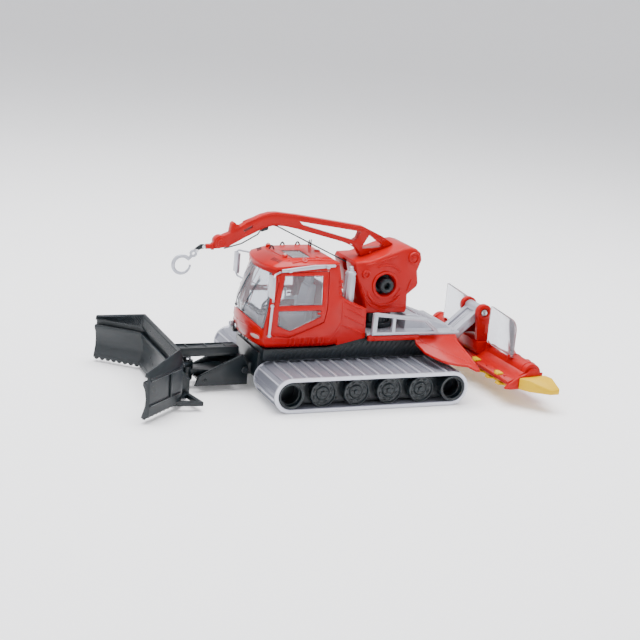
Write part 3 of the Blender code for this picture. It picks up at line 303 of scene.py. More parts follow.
def flakePlastic(name, values):
    # plastic filled with aluminium flake: tiny bright specks in a grey body, a pearly sheen
    material, tree, out, spot = newMaterial(name)
    flake = addNode(tree, "ShaderNodeTexVoronoi", {"Scale": perSize(values["flakeSize"])}, {"Vector": spot})
    speck = addNode(tree, "ShaderNodeMapRange", {"To Max": 0.55}, {"Value": flake.outputs["Distance"]})
    cloud = addNode(tree, "ShaderNodeTexNoise", {"Scale": perSize(values["cloudSize"]), "Detail": 4.0},
                    {"Vector": spot})
    base = addNode(tree, "ShaderNodeMix", {"data_type": "RGBA", 6: tone(values["colour"]),
                                           7: tone(values["shade"])}, {0: cloud.outputs["Fac"]})
    mixed = addNode(tree, "ShaderNodeMix", {"data_type": "RGBA", 7: tone(values["bright"])},
                    {0: speck.outputs["Result"], 6: base.outputs[2]})
    rough = addNode(tree, "ShaderNodeMapRange",
                    {"To Min": values["roughness"] - 0.06, "To Max": values["roughness"] + 0.08},
                    {"Value": cloud.outputs["Fac"]})
    bump = addNode(tree, "ShaderNodeBump", {"Strength": 0.12, "Distance": 0.02 * mm},
                   {"Height": flake.outputs["Distance"]})
    shader = addNode(tree, "ShaderNodeBsdfPrincipled",
                     {"IOR": 1.52, "Metallic": values["metallic"]},
                     {"Base Color": mixed.outputs[2], "Roughness": rough.outputs["Result"],
                      "Normal": bump.outputs["Normal"]})
    tree.links.new(shader.outputs["BSDF"], out.inputs["Surface"])
    return material


def clearPolystyrene(name, values):
    # clear crystal polystyrene: glass-bright faces with the faint waves of the mould
    material, tree, out, spot = newMaterial(name)
    wave = addNode(tree, "ShaderNodeTexNoise", {"Scale": perSize(values["waveSize"]), "Detail": 1.0},
                   {"Vector": spot})
    bump = addNode(tree, "ShaderNodeBump", {"Strength": 0.06, "Distance": 0.05 * mm},
                   {"Height": wave.outputs["Fac"]})
    smear = addNode(tree, "ShaderNodeMapRange", {"To Min": 0.01, "To Max": 0.06},
                    {"Value": wave.outputs["Fac"]})
    shader = addNode(tree, "ShaderNodeBsdfPrincipled",
                     {"Base Color": tone(values["colour"]), "IOR": values["bend"],
                      "Transmission Weight": values["clear"]},
                     {"Roughness": smear.outputs["Result"], "Normal": bump.outputs["Normal"]})
    tree.links.new(shader.outputs["BSDF"], out.inputs["Surface"])
    return material


def turnedSteel(name, values):
    # bright turned steel: fine rings left by the tool round the pin's axis
    material, tree, out, spot = newMaterial(name)
    rings = addNode(tree, "ShaderNodeTexWave",
                    {"Scale": perSize(values["ringSize"]), "Distortion": 1.5, "bands_direction": "Z"},
                    {"Vector": spot})
    grime = addNode(tree, "ShaderNodeTexNoise", {"Scale": perSize(values["grimeSize"])}, {"Vector": spot})
    rough = addNode(tree, "ShaderNodeMapRange", {"To Min": 0.18, "To Max": 0.36},
                    {"Value": grime.outputs["Fac"]})
    bump = addNode(tree, "ShaderNodeBump", {"Strength": 0.15, "Distance": 0.01 * mm},
                   {"Height": rings.outputs["Fac"]})
    shader = addNode(tree, "ShaderNodeBsdfPrincipled",
                     {"Base Color": tone(values["colour"]), "Metallic": 1.0},
                     {"Roughness": rough.outputs["Result"], "Normal": bump.outputs["Normal"]})
    tree.links.new(shader.outputs["BSDF"], out.inputs["Surface"])
    return material


redPaint = {"colour": "#B80304", "deepColour": "#A20305", "poolSize": 9.0, "peelSize": 0.5,
            "peelDepth": 0.05, "roughness": 0.3, "coat": 0.15, "bend": 1.26}
redPlastic = {"colour": "#B40304", "deepColour": "#9E0305", "poolSize": 14.0, "peelSize": 0.3,
              "peelDepth": 0.04, "roughness": 0.32, "coat": 0.08, "bend": 1.26}
blackPlastic = {"colour": "#0A1216", "otherColour": "#10191E", "flowSize": 8.0, "grainSize": 0.22,
                "grainStrength": 0.2, "roughness": 0.3, "bend": 1.42}
greyPlastic = {"colour": "#D4D6DC", "otherColour": "#C4C6CE", "flowSize": 6.0, "grainSize": 0.2,
               "grainStrength": 0.25, "roughness": 0.5}
yellowPlastic = {"colour": "#D8AE00", "otherColour": "#CCA200", "flowSize": 7.0, "grainSize": 0.2,
                 "grainStrength": 0.15, "roughness": 0.42, "bend": 1.3}
rubberGrey = {"colour": "#3B3F45", "otherColour": "#2C2F34", "flowSize": 4.0, "grainSize": 0.15,
              "grainStrength": 0.3, "roughness": 0.6}
silverPlastic = {"colour": "#A6A8B2", "shade": "#9395A1", "bright": "#D9DBE4", "flakeSize": 0.16,
                 "cloudSize": 7.0, "roughness": 0.32, "metallic": 0.5}
# the track belt's silver, darker than the real moulding: painted shade for the tread between the grousers
trackSilverPaintedShade = {"colour": "#7E808C", "shade": "#6C6E7B", "bright": "#B4B6C2", "flakeSize": 0.18,
               "cloudSize": 10.0, "roughness": 0.34, "metallic": 0.5}
# the same track silver made lighter: painted highlight for the grouser crests and the track rims
trackSilverPaintedHighlight = {"colour": "#B9BBC6", "shade": "#A7A9B5", "bright": "#E4E6EE", "flakeSize": 0.18,
                "cloudSize": 8.0, "roughness": 0.3, "metallic": 0.5}
clearPlastic = {"colour": "#E2E5EB", "waveSize": 6.0, "bend": 1.28, "clear": 0.9}
lampLens = {"colour": "#FFE3DC", "waveSize": 1.2, "bend": 1.45, "clear": 0.6}
steelPin = {"colour": "#C9CBD0", "ringSize": 0.4, "grimeSize": 2.0}
mirrorFoil = {"colour": "#E4E7EC", "ringSize": 2.5, "grimeSize": 5.0}
ropeFibre = {"colour": "#1A1C20", "otherColour": "#34363B", "flowSize": 0.5, "grainSize": 0.12,
             "grainStrength": 0.5, "roughness": 0.62}

finishes = {
    "red_paint": sprayedEnamel("sprayed_red_enamel", redPaint),
    "red_plastic": sprayedEnamel("moulded_red_abs", redPlastic),
    "black_plastic": mouldedPlastic("moulded_black_abs", blackPlastic),
    "silver_plastic": flakePlastic("moulded_silver_abs", silverPlastic),
    # the track belt in the darker silver, painted shade
    "track_silver": flakePlastic("moulded_silver_pvc_painted_shade", trackSilverPaintedShade),
    "clear_plastic": clearPolystyrene("clear_polystyrene", clearPlastic),
    "grey_plastic": mouldedPlastic("moulded_grey_abs", greyPlastic),
    "yellow_plastic": mouldedPlastic("moulded_yellow_abs", yellowPlastic),
    "steel_pin": turnedSteel("turned_steel", steelPin),
    "rope": mouldedPlastic("twisted_black_thread", ropeFibre),
}
lensLook = clearPolystyrene("clear_lamp_lens", lampLens)
mirrorLook = turnedSteel("mirror_foil", mirrorFoil)
rubberLook = mouldedPlastic("soft_dark_rubber", rubberGrey)
# lighter copy of the track silver, the painted highlight on grouser crests and rims
paintedHighlightLook = flakePlastic("silver_pvc_painted_highlight", trackSilverPaintedHighlight)
for part in frame["record"]["subparts"]:
    material = finishes[part["material_slot"]]
    mesh = nodes[part["node"]].data
    for i in range(max(1, len(mesh.materials))):
        if i < len(mesh.materials):
            mesh.materials[i] = material
        else:
            mesh.materials.append(material)
print("finishes ready")

edgeRadius = {                                    # how far each moulding's edges are rounded, in mm
    "chassis_hull": 0.25, "turret_base": 0.2, "rear_deck": 0.2, "left_deck_rail": 0.3,
    "right_deck_rail": 0.3,
    "left_fender": 0.25, "right_fender": 0.25, "cab_body": 0.22, "cab_roof": 0.4, "left_door": 0.2,
    "right_door": 0.2, "left_roof_rail": 0.3, "right_roof_rail": 0.3, "left_mirror": 0.3, "right_mirror": 0.3,
    "cab_seat": 0.9, "cab_console": 0.5, "exhaust_stack": 0.25, "winch_housing": 0.7, "boom": 0.4,
    "rope_guide": 0.3, "winch_drum": 0.3, "hook_link": 0.3, "push_frame": 0.22, "swing_pin": 0.25,
    "blade": 0.22, "lift_arm": 0.3, "lower_link": 0.2, "tiller_bracket": 0.35, "tiller_pin": 0.25,
    "tiller_housing": 0.35, "tiller_comb": 0.3, "tiller_rotor": 0.2, "left_finisher": 0.4,
    "right_finisher": 0.4, "left_screen": 0.25, "right_screen": 0.25,
}
bodyOf = {node: body for body, held in frame["record"]["behaviour"]["bodies"].items() for node in held}
slotOf = {part["node"]: part["material_slot"] for part in frame["record"]["subparts"]}


def roundedCopy(node, width):
    source = nodes[node]
    obj = bpy.data.objects.new(node, source.data.copy())
    bpy.context.scene.collection.objects.link(obj)

    def flatten():
        bpy.ops.mesh.remove_doubles(threshold=0.02 * mm)
        bpy.ops.mesh.dissolve_limited(angle_limit=math.radians(1.2))
        bpy.ops.mesh.dissolve_degenerate(threshold=0.02 * mm)

    inEdit(obj, flatten)
    rounded(obj, width, 2, 34)
    place(node + "_moulding", obj, bodyOf[node], slotOf[node])
    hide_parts(node)
    return obj


mouldings = {node: roundedCopy(node, width) for node, width in edgeRadius.items()}
print("mouldings rounded")

trackShoe = {"count": 30, "shoeHalf": 3.45, "foot": 0.9, "crest": 0.36, "height": 0.55, "ribHalf": 1.3,
             "ribHeight": 0.12, "groove": 0.3, "rim": 1.1, "rimLift": 0.22, "ramp": 0.5, "belt": 1.5}
wheelSet = {"pitch": 16.1, "radius": 6.1, "disc": 2.8, "pips": 8, "pipCircle": 4.3, "bolts": 5,
            "boltCircle": 1.95}


def loopPoint(distance, lift, values):
    # a point on the track loop: distance round it and lift over the belt, in mm; (x, z)
    middleZ = trackTop / mm / 2
    reach = (trackHigh.x - trackLow.x) / mm / 2 - middleZ
    radius = middleZ - values["height"]
    straight = 2 * reach
    bend = math.pi * radius
    distance %= 2 * (straight + bend)
    if distance < straight:
        return distance - reach, middleZ + radius + lift
    if distance < straight + bend:
        angle = math.pi / 2 - (distance - straight) / radius
        return reach + (radius + lift) * math.cos(angle), middleZ + (radius + lift) * math.sin(angle)
    if distance < 2 * straight + bend:
        return reach - (distance - straight - bend), middleZ - radius - lift
    angle = -math.pi / 2 - (distance - 2 * straight - bend) / radius
    return -reach + (radius + lift) * math.cos(angle), middleZ + (radius + lift) * math.sin(angle)


def loopBand(across, shoe, values):
    # a closed band round the track loop
    # across gives each station's place, lift and share of the shoe's relief
    middleZ = trackTop / mm / 2
    reach = (trackHigh.x - trackLow.x) / mm / 2 - middleZ
    pitch = (4 * reach + 2 * math.pi * (middleZ - values["height"])) / values["count"]
    stations = list(across) + [across[0]]
    steps = values["count"] * len(shoe)
    bpy.ops.object.select_all(action="DESELECT")
    bpy.ops.mesh.primitive_grid_add(x_subdivisions=steps, y_subdivisions=len(stations) - 1, size=1)
    band = bpy.context.object
    for vertex in band.data.vertices:
        i = round((vertex.co.x + 0.5) * steps)
        y, lift, share = stations[round((vertex.co.y + 0.5) * (len(stations) - 1))]
        along, height = shoe[i % len(shoe)]
        x, z = loopPoint(along + (i // len(shoe)) * pitch, lift + share * height, values)
        vertex.co = at(x, -y, z)
    inEdit(band, outward)
    take(band)
    bpy.ops.object.shade_smooth_by_angle(angle=math.radians(28))
    return band, pitch


def makeTrack(values):
    ribHalf, ribTall, groove = values["ribHalf"], values["ribHeight"], values["groove"]
    half = values["shoeHalf"]
    foot = values["foot"]
    shoe = [(-half, -groove), (-foot, -groove), (-foot + 0.15, 0), (foot - 0.15, 0), (foot, -groove),
            (half - ribHalf, -groove), (half - ribHalf * 0.7, ribTall), (half - 0.1, ribTall)]
    near, far = abs(trackHigh.y) / mm, abs(trackLow.y) / mm
    rim, lip, ramp, deep = values["rim"], values["rimLift"], values["ramp"], values["belt"]
    across = [(far - 0.2, -0.5, 0), (far - 0.2, 0, 0), (far - rim, 0, 0), (far - rim - ramp, 0, 1),
              (near + rim + ramp, 0, 1), (near + rim, 0, 0), (near + 0.2, 0, 0), (near + 0.2, -0.5, 0),
              (near + 0.2, -deep, 0), (far - 0.2, -deep, 0)]
    belt, pitch = loopBand(across, shoe, values)
    edges = []
    for outer, inner in ((far, far - rim), (near, near + rim)):
        lean = 1 if outer > inner else -1
        section = [(outer, -deep * 0.9, 0), (outer, lip - 0.15, 0), (outer - 0.15 * lean, lip, 0),
                   (inner + 0.15 * lean, lip, 0), (inner, lip - 0.1, 0), (inner, -deep * 0.9, 0)]
        if lean < 0:
            section.reverse()
        edges.append(loopBand(section, [(pitch * k / 4, 0) for k in range(4)], values)[0])
    bars = []
    width = far - near - 2 * rim - 0.2
    for k in range(values["count"]):
        x, z = loopPoint(k * pitch, values["height"] / 2 - 0.05, values)
        aheadX, aheadZ = loopPoint(k * pitch + 0.2, values["height"] / 2 - 0.05, values)
        bar = block((0, 0, 0), (values["crest"] * 2, width, values["height"] + 0.1), 0.14)
        bar.data.transform(Matrix.Translation(at(x, -(near + far) / 2, z))
                           @ Matrix.Rotation(-math.atan2(aheadZ - z, aheadX - x), 4, "Y"))
        bars.append(bar)
    # rims and grousers in the lighter silver: painted highlight on the same moulding as the darker belt
    both("track_edges", joined(edges), "chassis", "track_silver", paintedHighlightLook)
    both("track_grousers", joined(bars), "chassis", "track_silver", paintedHighlightLook)
    # the belts carry the darker track silver: painted shade between the grousers
    right = mirrored(belt)
    for name, obj in (("left_track", belt), ("right_track", right)):
        place(name + "_belt", obj, "chassis", "track_silver")
        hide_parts(name)


def dome(centre, radii, normal, segments=12):      # a flattened ball in mm, its short axis along the normal
    bpy.ops.object.select_all(action="DESELECT")
    bpy.ops.mesh.primitive_uv_sphere_add(segments=segments, ring_count=segments // 2, radius=mm)
    obj = bpy.context.object
    turn = Vector(normal).to_track_quat("Z", "Y").to_matrix().to_4x4()
    obj.data.transform(Matrix.Translation(centre) @ turn @ Matrix.Diagonal((*radii, 1)))
    take(obj)
    bpy.ops.object.shade_smooth()
    return obj


def bolt(centre, normal, radius=0.5, height=0.35, sides=6):
    profile = [(0, -0.1), (radius, -0.1), (radius, height * 0.7), (radius * 0.8, height), (0, height)]
    return turned(profile, centre, normal, sides)


def makeWheels(values):
    low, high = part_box("left_running_gear")
    face = low.y / mm + values["disc"] - 0.3
    middleZ = (low.z + high.z) / 2 / mm
    outwards = (0, -1, 0)
    rim = values["radius"]
    dish = [(0, -0.1), (rim, -0.1), (rim, 1.3), (rim - 0.2, 1.55), (rim - 0.55, 1.5), (rim - 0.8, 0.75),
            (3.3, 0.45), (3.0, 0.95), (2.75, 1.15), (2.6, 1.15), (2.5, 0.95), (1.25, 0.95), (1.1, 1.45),
            (0.9, 1.6), (0, 1.6)]
    faces = []
    for i in range(4):
        x = (i - 1.5) * values["pitch"]
        faces.append(turned(dish, at(x, face, middleZ), outwards, 40))
        for k in range(values["pips"]):
            angle = 2 * math.pi * (k + 0.5) / values["pips"]
            reach = values["pipCircle"]
            spot = at(x + reach * math.cos(angle), face - 0.6, middleZ + reach * math.sin(angle))
            pip = dome((0, 0, 0), (1.05, 0.62, 0.4), (0, 0, 1), 10)
            turn = Matrix.Rotation(math.pi / 2, 4, "X") @ Matrix.Rotation(angle + math.pi / 2, 4, "Z")
            pip.data.transform(Matrix.Translation(spot) @ turn)
            faces.append(pip)
        for k in range(values["bolts"]):
            angle = 2 * math.pi * k / values["bolts"] + math.pi / 2
            reach = values["boltCircle"]
            spot = at(x + reach * math.cos(angle), face - 0.95, middleZ + reach * math.sin(angle))
            faces.append(bolt(spot, outwards, 0.34, 0.3))
    both("road_wheels", joined(faces), "chassis", "black_plastic")
    reach = (trackHigh.x - trackLow.x) / mm / 2 - trackTop / mm / 2
    rings = []
    for x in (-reach, reach):
        lip = [(rim - 0.75, 0), (rim - 0.05, 0), (rim - 0.05, 0.45), (rim - 0.2, 0.6), (rim - 0.6, 0.6),
               (rim - 0.75, 0.4)]
        rings.append(turned(lip, at(x, low.y / mm + 0.4, middleZ), outwards, 44))
        step = [(rim - 1.9, 0), (rim - 0.8, 0), (rim - 0.8, 0.5), (rim - 1.7, 0.5), (rim - 1.9, 0.3)]
        rings.append(turned(step, at(x, low.y / mm + 2.6, middleZ), outwards, 40))
    for i in range(5):
        x = (i - 2) * values["pitch"]
        for z in (middleZ + 3.6, middleZ - 3.6):
            rings.append(bolt(at(x, low.y / mm + 4.9, z), outwards, 0.6, 0.5, 12))
    both("idler_rims", joined(rings), "chassis", "black_plastic")


makeTrack(trackShoe)
makeWheels(wheelSet)
print("tracks and wheels made")

skirtHatch = {"pitch": 2.5, "slant": 5.0, "width": 0.9, "proud": 0.3, "low": 17.3}
deckRibs = {"count": 6, "first": 8.5, "pitch": 2.6, "width": 0.9, "height": 0.35, "plateTop": 28.2,
            "slats": 6, "turretTeeth": 24, "turretCircle": 9.0}
fenderEdge = {"front": ((31.2, -20.2, 26.7), (49.8, -41.2, 18.2)),
              "rear": ((50.2, -20.2, 27.0), (50.6, -41.4, 18.3)), "thick": 0.32, "studs": (8.0, 27.0)}


def makeSkirt(values):
    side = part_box("chassis_hull")[0].y / mm
    ribs = []
    x = -43.0
    while x < 46.0:
        top = 21.2 if x < -15.0 else (25.2 if x > 0.5 else 21.2 + (x + 15.0) * 4.0 / 15.5)
        lean = values["slant"] * (top - values["low"]) / 8.0
        outline = [(x, values["low"]), (x + values["width"], values["low"]),
                   (x + values["width"] + lean, top), (x + lean, top)]
        ribs.append(plate(outline, side - values["proud"], side + 0.1, "Y", 0.1))
        x += values["pitch"]
    foot = [(-44, 16.95), (49.5, 16.95), (49.5, 17.5), (-44, 17.5)]
    ribs.append(plate(foot, side - 0.4, side + 0.1, "Y", 0.12))
    both("skirt_ribs", joined(ribs), "chassis", "black_plastic")
    belly = [block(at(x, 0, 4.4), (1.2, 24, 0.5), 0.15) for x in (-30, -10, 10, 30)]
    belly.append(block(at(0, 0, 4.45), (66, 1.2, 0.45), 0.15))
    place("belly_ribs", joined(belly), "chassis", "black_plastic")
    head = [(0, 0), (1.5, 0), (1.5, 0.5), (0.5, 0.75), (0.35, 0.3), (0, 0.3)]
    screws = [turned(head, at(x, y, 4.6), (0, 0, -1), 20) for x in (-36, 36) for y in (-8, 8)]
    place("belly_screws", joined(screws), "chassis", "steel_pin")


def makeDeckDetail(values):
    plateTop = values["plateTop"]
    ribs = []
    for i in range(values["count"]):
        x = values["first"] + i * values["pitch"]
        for y in (-14.6, 14.6):
            spot = at(x, y, plateTop + values["height"] / 2)
            ribs.append(block(spot, (values["width"], 5.0, values["height"]), 0.15))
    # slats down the sloping cover behind the winch
    start, end = Vector((33.0, 0, 35.1)), Vector((48.0, 0, 29.8))
    for i in range(values["slats"]):
        spot = start.lerp(end, (i + 0.5) / values["slats"])
        slat = block((0, 0, 0), (1.1, 19.0, 0.8), 0.2)
        tilt = Matrix.Rotation(math.atan2(start.z - end.z, end.x - start.x), 4, "Y")
        slat.data.transform(Matrix.Translation(at(spot.x, 0, spot.z)) @ tilt)
        ribs.append(slat)
    for x in (29.5, 51.0):
        for y in (-16.4, 16.4):
            ribs.append(bolt(at(x, y, plateTop), (0, 0, 1), 0.8, 0.5, 16))
    place("deck_ribs", joined(ribs), "chassis", "silver_plastic")
    rail = []
    for x, z in ((7.7, 29.3), (17.4, 29.2), (39.4, 29.2), (17.4, 36.7), (8.0, 37.7)):
        rail.append(bolt(at(x, -20.85, z), (0, -1, 0), 0.5, 0.3, 14))
    bars = [wire([at(7.4, -20.9, 38.2), at(34.0, -20.9, 34.6), at(40.0, -20.9, 29.9)], 0.3, False)]
    both("rail_studs", joined(rail + bars), "chassis", "silver_plastic")
    ring = []
    reach = values["turretCircle"]
    for k in range(values["turretTeeth"]):
        angle = 2 * math.pi * k / values["turretTeeth"]
        tooth = block((0, 0, 0), (0.7, 1.0, 5.2), 0.12)
        spot = at(15 + reach * math.cos(angle), reach * math.sin(angle), 33.0)
        tooth.data.transform(Matrix.Translation(spot) @ Matrix.Rotation(angle, 4, "Z"))
        ring.append(tooth)
    place("turret_teeth", joined(ring), "chassis", "black_plastic")


def makeFenderDetail(values):
    parts = []
    for start, end in (values["front"], values["rear"]):
        path = [at(*start).lerp(at(*end), t / 12) for t in range(13)]
        spots = []
        for point in path:
            over = point + Vector((0, 0, 0.02))
            hit, spot = mouldings["left_fender"].ray_cast(over, Vector((0, 0, -1)))[:2]
            if hit:
                spots.append(spot - Vector((0, 0, 0.12 * mm)))
        if len(spots) > 3:
            parts.append(wire(spots, values["thick"], False))
    for x in values["studs"]:
        parts.append(dome(at(x, -20.8, 26.6), (0.5, 0.5, 0.3), (0, -1, 0)))
    both("fender_edges", joined(parts), "chassis", "red_plastic")


makeSkirt(skirtHatch)
makeDeckDetail(deckRibs)
makeFenderDetail(fenderEdge)
print("chassis dressed")

sillRibs = {"first": -33.5, "last": -17.0, "pitch": 2.3, "width": 1.0}
roofLamps = {"spots": ((-35.5, 10.5), (-35.5, -10.5)), "radius": 1.25, "height": 1.2}
headLamp = {"across": 14.2, "height": 27.6, "bezel": (3.6, 1.7, 0.55), "lens": (3.0, 1.15, 0.55),
            "towLamp": (-49.8, 11.0, 26.0)}
wiperArms = {"sweeps": ((-4.5, -9.5), (6.0, 1.0)), "arm": 0.18, "blade": 0.16}
cabSides = {"handle": (-19.2, -18.75, 38.6), "hinges": (27.6, 54.6), "catches": (47.5, 50.3, 53.1),
            "seam": 0.3, "fold": 0.42, "railFoot": 29.2}
exhaustPipe = {"centre": (-4.0, -14.0), "bands": (42.0, 55.4), "ribs": 10, "ribReach": 2.2, "outlet": 57.6}
steeringWheel = {"centre": (-36.0, 0.0, 38.6), "radius": 4.4, "rim": 0.55, "tilt": 38.0}


def makeSillRibs(values):
    ribs = []
    x = values["first"]
    profile = [(-15.9, 22.7), (-17.85, 24.7), (-18.65, 27.6), (-18.95, 27.4), (-18.35, 24.3), (-16.6, 22.7)]
    while x <= values["last"]:
        ribs.append(plate(profile, x, x + values["width"], "X", 0.15))
        x += values["pitch"]
    both("sill_ribs", joined(ribs), "chassis", "red_paint")


def roofPoint(x, y, lift=0.0):
    return onSurface("cab_roof", at(x, y, 80), (0, 0, -1), lift)


def makeRoofDetail(values):
    parts = []
    for x, y in values["spots"]:
        spot = roofPoint(x, y, -0.2)[0]
        parts.append(turned([(0, 0), (values["radius"], 0), (values["radius"], values["height"]),
                             (values["radius"] * 0.7, values["height"] + 0.25), (0, values["height"] + 0.25)],
                            spot, (0, 0, 1), 20))
    for x, y in ((-27.5, -14.6), (-21.0, -13.6), (-15.5, 0.0)):
        spot, normal = roofPoint(x, y, -0.25)
        cap = [(0, 0), (1.5, 0), (1.3, 0.6), (0.8, 0.6), (0.7, 0.35), (0, 0.35)]
        parts.append(turned(cap, spot, normal, 20))
    # the raised shoulders beside the skylight
    outerLine = ((-33.5, 15.6), (-27.0, 14.2), (-20.0, 14.9), (-13.5, 15.6))
    innerLine = ((-20.0, 14.9), (-17.5, 12.4), (-13.6, 11.4))
    for side in (-1, 1):
        for line, thick in ((outerLine, 0.42), (innerLine, 0.4)):
            parts.append(wire([roofPoint(x, side * y, -0.12)[0] for x, y in line], thick))
    crown = [roofPoint(-34.5 - 2.2 * (1 - (y / 14.0) ** 2), y, -0.1)[0] for y in range(-14, 15, 2)]
    parts.append(wire(crown, 0.4))
    place("roof_ridges", joined(parts), "chassis", "red_paint")
    low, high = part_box("skylight")
    edge = [(low.x, low.y), (high.x, low.y), (high.x, high.y), (low.x, high.y)]
    frameBars = [wire([Vector((x, y, high.z - 0.1 * mm)) for x, y in edge], 0.32, False, True)]
    # short slots at the roof's front corners
    for side in (-1, 1):
        for k in range(5):
            spot, normal = roofPoint(-40.4 + 0.4 * k, side * (8.5 + 1.3 * k), -0.05)
            slot = block((0, 0, 0), (0.55, 2.2, 0.35), 0.08)
            turn = normal.to_track_quat("Z", "Y").to_matrix().to_4x4()
            slot.data.transform(Matrix.Translation(spot) @ turn)
            frameBars.append(slot)
    place("skylight_frame", joined(frameBars), "chassis", "black_plastic")
    loops = []
    for x, y in ((-35.5, 6.0), (-27.0, 14.4), (-19.5, 14.2)):
        spot = roofPoint(x, y, -0.3)[0]
        path = [spot + Vector((-1.2 + 0.4 * k, 0, 1.9 * math.sin(math.pi * k / 6))) * mm for k in range(7)]
        loops.append(wire(path, 0.36))
    for y, tall in ((10.2, 3.6), (12.4, 3.0)):
        spot = roofPoint(-14.4, y, -0.3)[0]
        loops.append(wire([spot, spot + Vector((0.15, 0, tall)) * mm], 0.45, False, False, [1.0, 0.55]))
    place("roof_loops", joined(loops), "chassis", "black_plastic", rubberLook)
    lamps = [dome(roofPoint(x, y, values["height"] + 0.2)[0], (0.85, 0.85, 0.5), (0, 0, 1))
             for x, y in values["spots"]]
    place("roof_lamps", joined(lamps), "chassis", "clear_plastic", lensLook)


def makeNose(values):
    bodySkin, glass, trim = [], [], []
    for side in (-1, 1):
        start = at(-70, side * values["across"], values["height"])
        spot, normal = onSurface("cab_body", start, (1, 0, 0), -0.05)
        along = Vector((0, 0, 1)).cross(normal).normalized()
        turn = Matrix((along, normal.cross(along), normal)).transposed().to_4x4()
        bezel = dome((0, 0, 0), values["bezel"], (0, 0, 1), 24)
        bezel.data.transform(Matrix.Translation(spot) @ turn)
        bodySkin.append(bezel)
        lens = dome((0, 0, 0), values["lens"], (0, 0, 1), 24)
        lens.data.transform(Matrix.Translation(spot + normal * 0.2 * mm) @ turn)
        glass.append(lens)
        for low, y in ((31.2, 12.6), (24.6, 9.5)):
            path = []
            for k in range(9):
                path.append(onSurface("cab_body", at(-70, side * (y - k * y / 9), low), (1, 0, 0), -0.1)[0])
            bodySkin.append(wire(path, 0.3))
    place("lamp_bezels", joined(bodySkin), "chassis", "red_paint")
    place("lamp_lenses", joined(glass), "chassis", "clear_plastic", lensLook)
    for y in (-5.5, -2.2, 2.2, 5.5):
        spot = onSurface("cab_body", at(-70, y, 24.3), (1, 0, 0), -0.1)[0]
        trim.append(block(spot, (0.7, 1.6, 2.0), 0.2))
    step = block(at(-48.2, 11.0, 23.3), (3.4, 4.4, 1.2), 0.3)
    trim += [step, block(at(-49.5, 11.0, 25.4), (0.9, 3.0, 3.8), 0.25)]
    place("nose_trim", joined(trim), "chassis", "black_plastic")
    bowl = [(0, 0), (1.3, 0), (1.5, 1.2), (1.2, 1.5), (1.0, 1.2), (0, 1.0)]
    lamp = turned(bowl, at(*values["towLamp"]), (-1, 0, 0.1), 20)
    place("tow_lamp", lamp, "chassis", "silver_plastic")


def makeWipers(values):
    parts = []
    for y0, y1 in values["sweeps"]:
        path = []
        for k in range(9):
            t = k / 8
            y = y0 + (y1 - y0) * t
            path.append(onSurface("windscreen", at(-75, y, 37.0 + 15.0 * t), (1, 0, 0), 0.42)[0])
        parts.append(wire(path, values["arm"]))
        blade = []
        for k in range(7):
            y = y0 + (y1 - y0) * (0.35 + 0.65 * k / 6) + 0.9
            blade.append(onSurface("windscreen", at(-75, y, 42.0 + 10.5 * k / 6), (1, 0, 0), 0.25)[0])
        parts.append(wire(blade, values["blade"]))
        parts.append(dome(path[0], (0.7, 0.7, 0.5), (-1, 0, 0)))
    place("wipers", joined(parts), "chassis", "black_plastic", rubberLook)


def makeCabSides(values):
    seams, silver = [], []
    seams.append(block(at(*values["handle"]), (3.2, 0.7, 0.9), 0.25))
    for z in values["hinges"]:
        seams.append(block(at(-40.6, -18.55, z), (1.1, 0.8, 2.4), 0.3))
    for z in values["catches"]:
        seams.append(block(at(-10.2, -18.2, z), (1.5, 1.0, 1.4), 0.3))
    # the curved line between the cab and the engine cover, and the cover's folds
    curve = []
    for k in range(11):
        t = k / 10
        x = -9.0 + 1.6 * math.sin(math.pi * t) - 5.0 * t ** 2
        z = 45.2 - 20.0 * t
        curve.append(onSurface("cab_body", at(x, -40, z), (0, 1, 0), -0.12)[0])
    seams.append(wire(curve, values["seam"]))
    for a, b in (((-7.6, 43.9), (2.2, 39.7)), ((-6.5, 40.6), (2.6, 36.4)), ((-7.5, 37.2), (2.8, 32.6)),
                 ((-9.0, 33.0), (3.0, 28.6))):
        path = []
        for k in range(7):
            t = k / 6
            path.append(onSurface("cab_body", at(a[0] + (b[0] - a[0]) * t, -40, a[1] + (b[1] - a[1]) * t),
                                  (0, 1, 0), 0.05)[0])
        seams.append(wire(path, values["fold"], True, False, [0.3, 0.9, 1.1, 1.1, 1.1, 0.9, 0.4]))
    both("cab_seams", joined(seams), "chassis", "red_paint")
    for x in (-36.0, -18.0):
        silver.append(block(at(x, -19.8, 58.6 + (x + 36) * 0.09), (1.6, 1.4, 1.5), 0.3))
    low = values["railFoot"]
    silver.append(dome(at(-43.7, -20.3, low), (0.9, 0.9, 0.6), (0, -1, 0)))
    silver.append(dome(at(-43.4, -20.3, low + 13.6), (0.9, 0.9, 0.6), (0, -1, 0)))
    both("rail_feet", joined(silver), "chassis", "silver_plastic")
    pane = plate([(-24.9, 47.0), (-21.2, 47.0), (-21.2, 56.6), (-24.9, 56.6)], -44.9, -44.6, "X", 0.1)
    both("mirror_panes", pane, "chassis", "steel_pin", mirrorLook)


def makeExhaustDetail(values):
    x0, y0 = values["centre"]
    reach = values["ribReach"]
    up = (0, 0, 1)
    rings = []
    for z in values["bands"]:
        rings.append(turned([(2.0, 0), (2.45, 0), (2.45, 0.7), (2.0, 0.7)], at(x0, y0, z), up, 28))
    for k in range(values["ribs"]):
        angle = 2 * math.pi * k / values["ribs"]
        spot = at(x0 + reach * math.cos(angle), y0 + reach * math.sin(angle), 49.0)
        rings.append(block(spot, (0.35, 0.35, 11.0), 0.1))
    outlet = [(0, 0), (0.9, 0), (1.0, 1.2), (0.7, 1.5), (0.5, 0.8), (0, 0.8)]
    rings.append(turned(outlet, at(x0, y0, values["outlet"]), up, 20))
    place("exhaust_rings", joined(rings), "chassis", "silver_plastic")


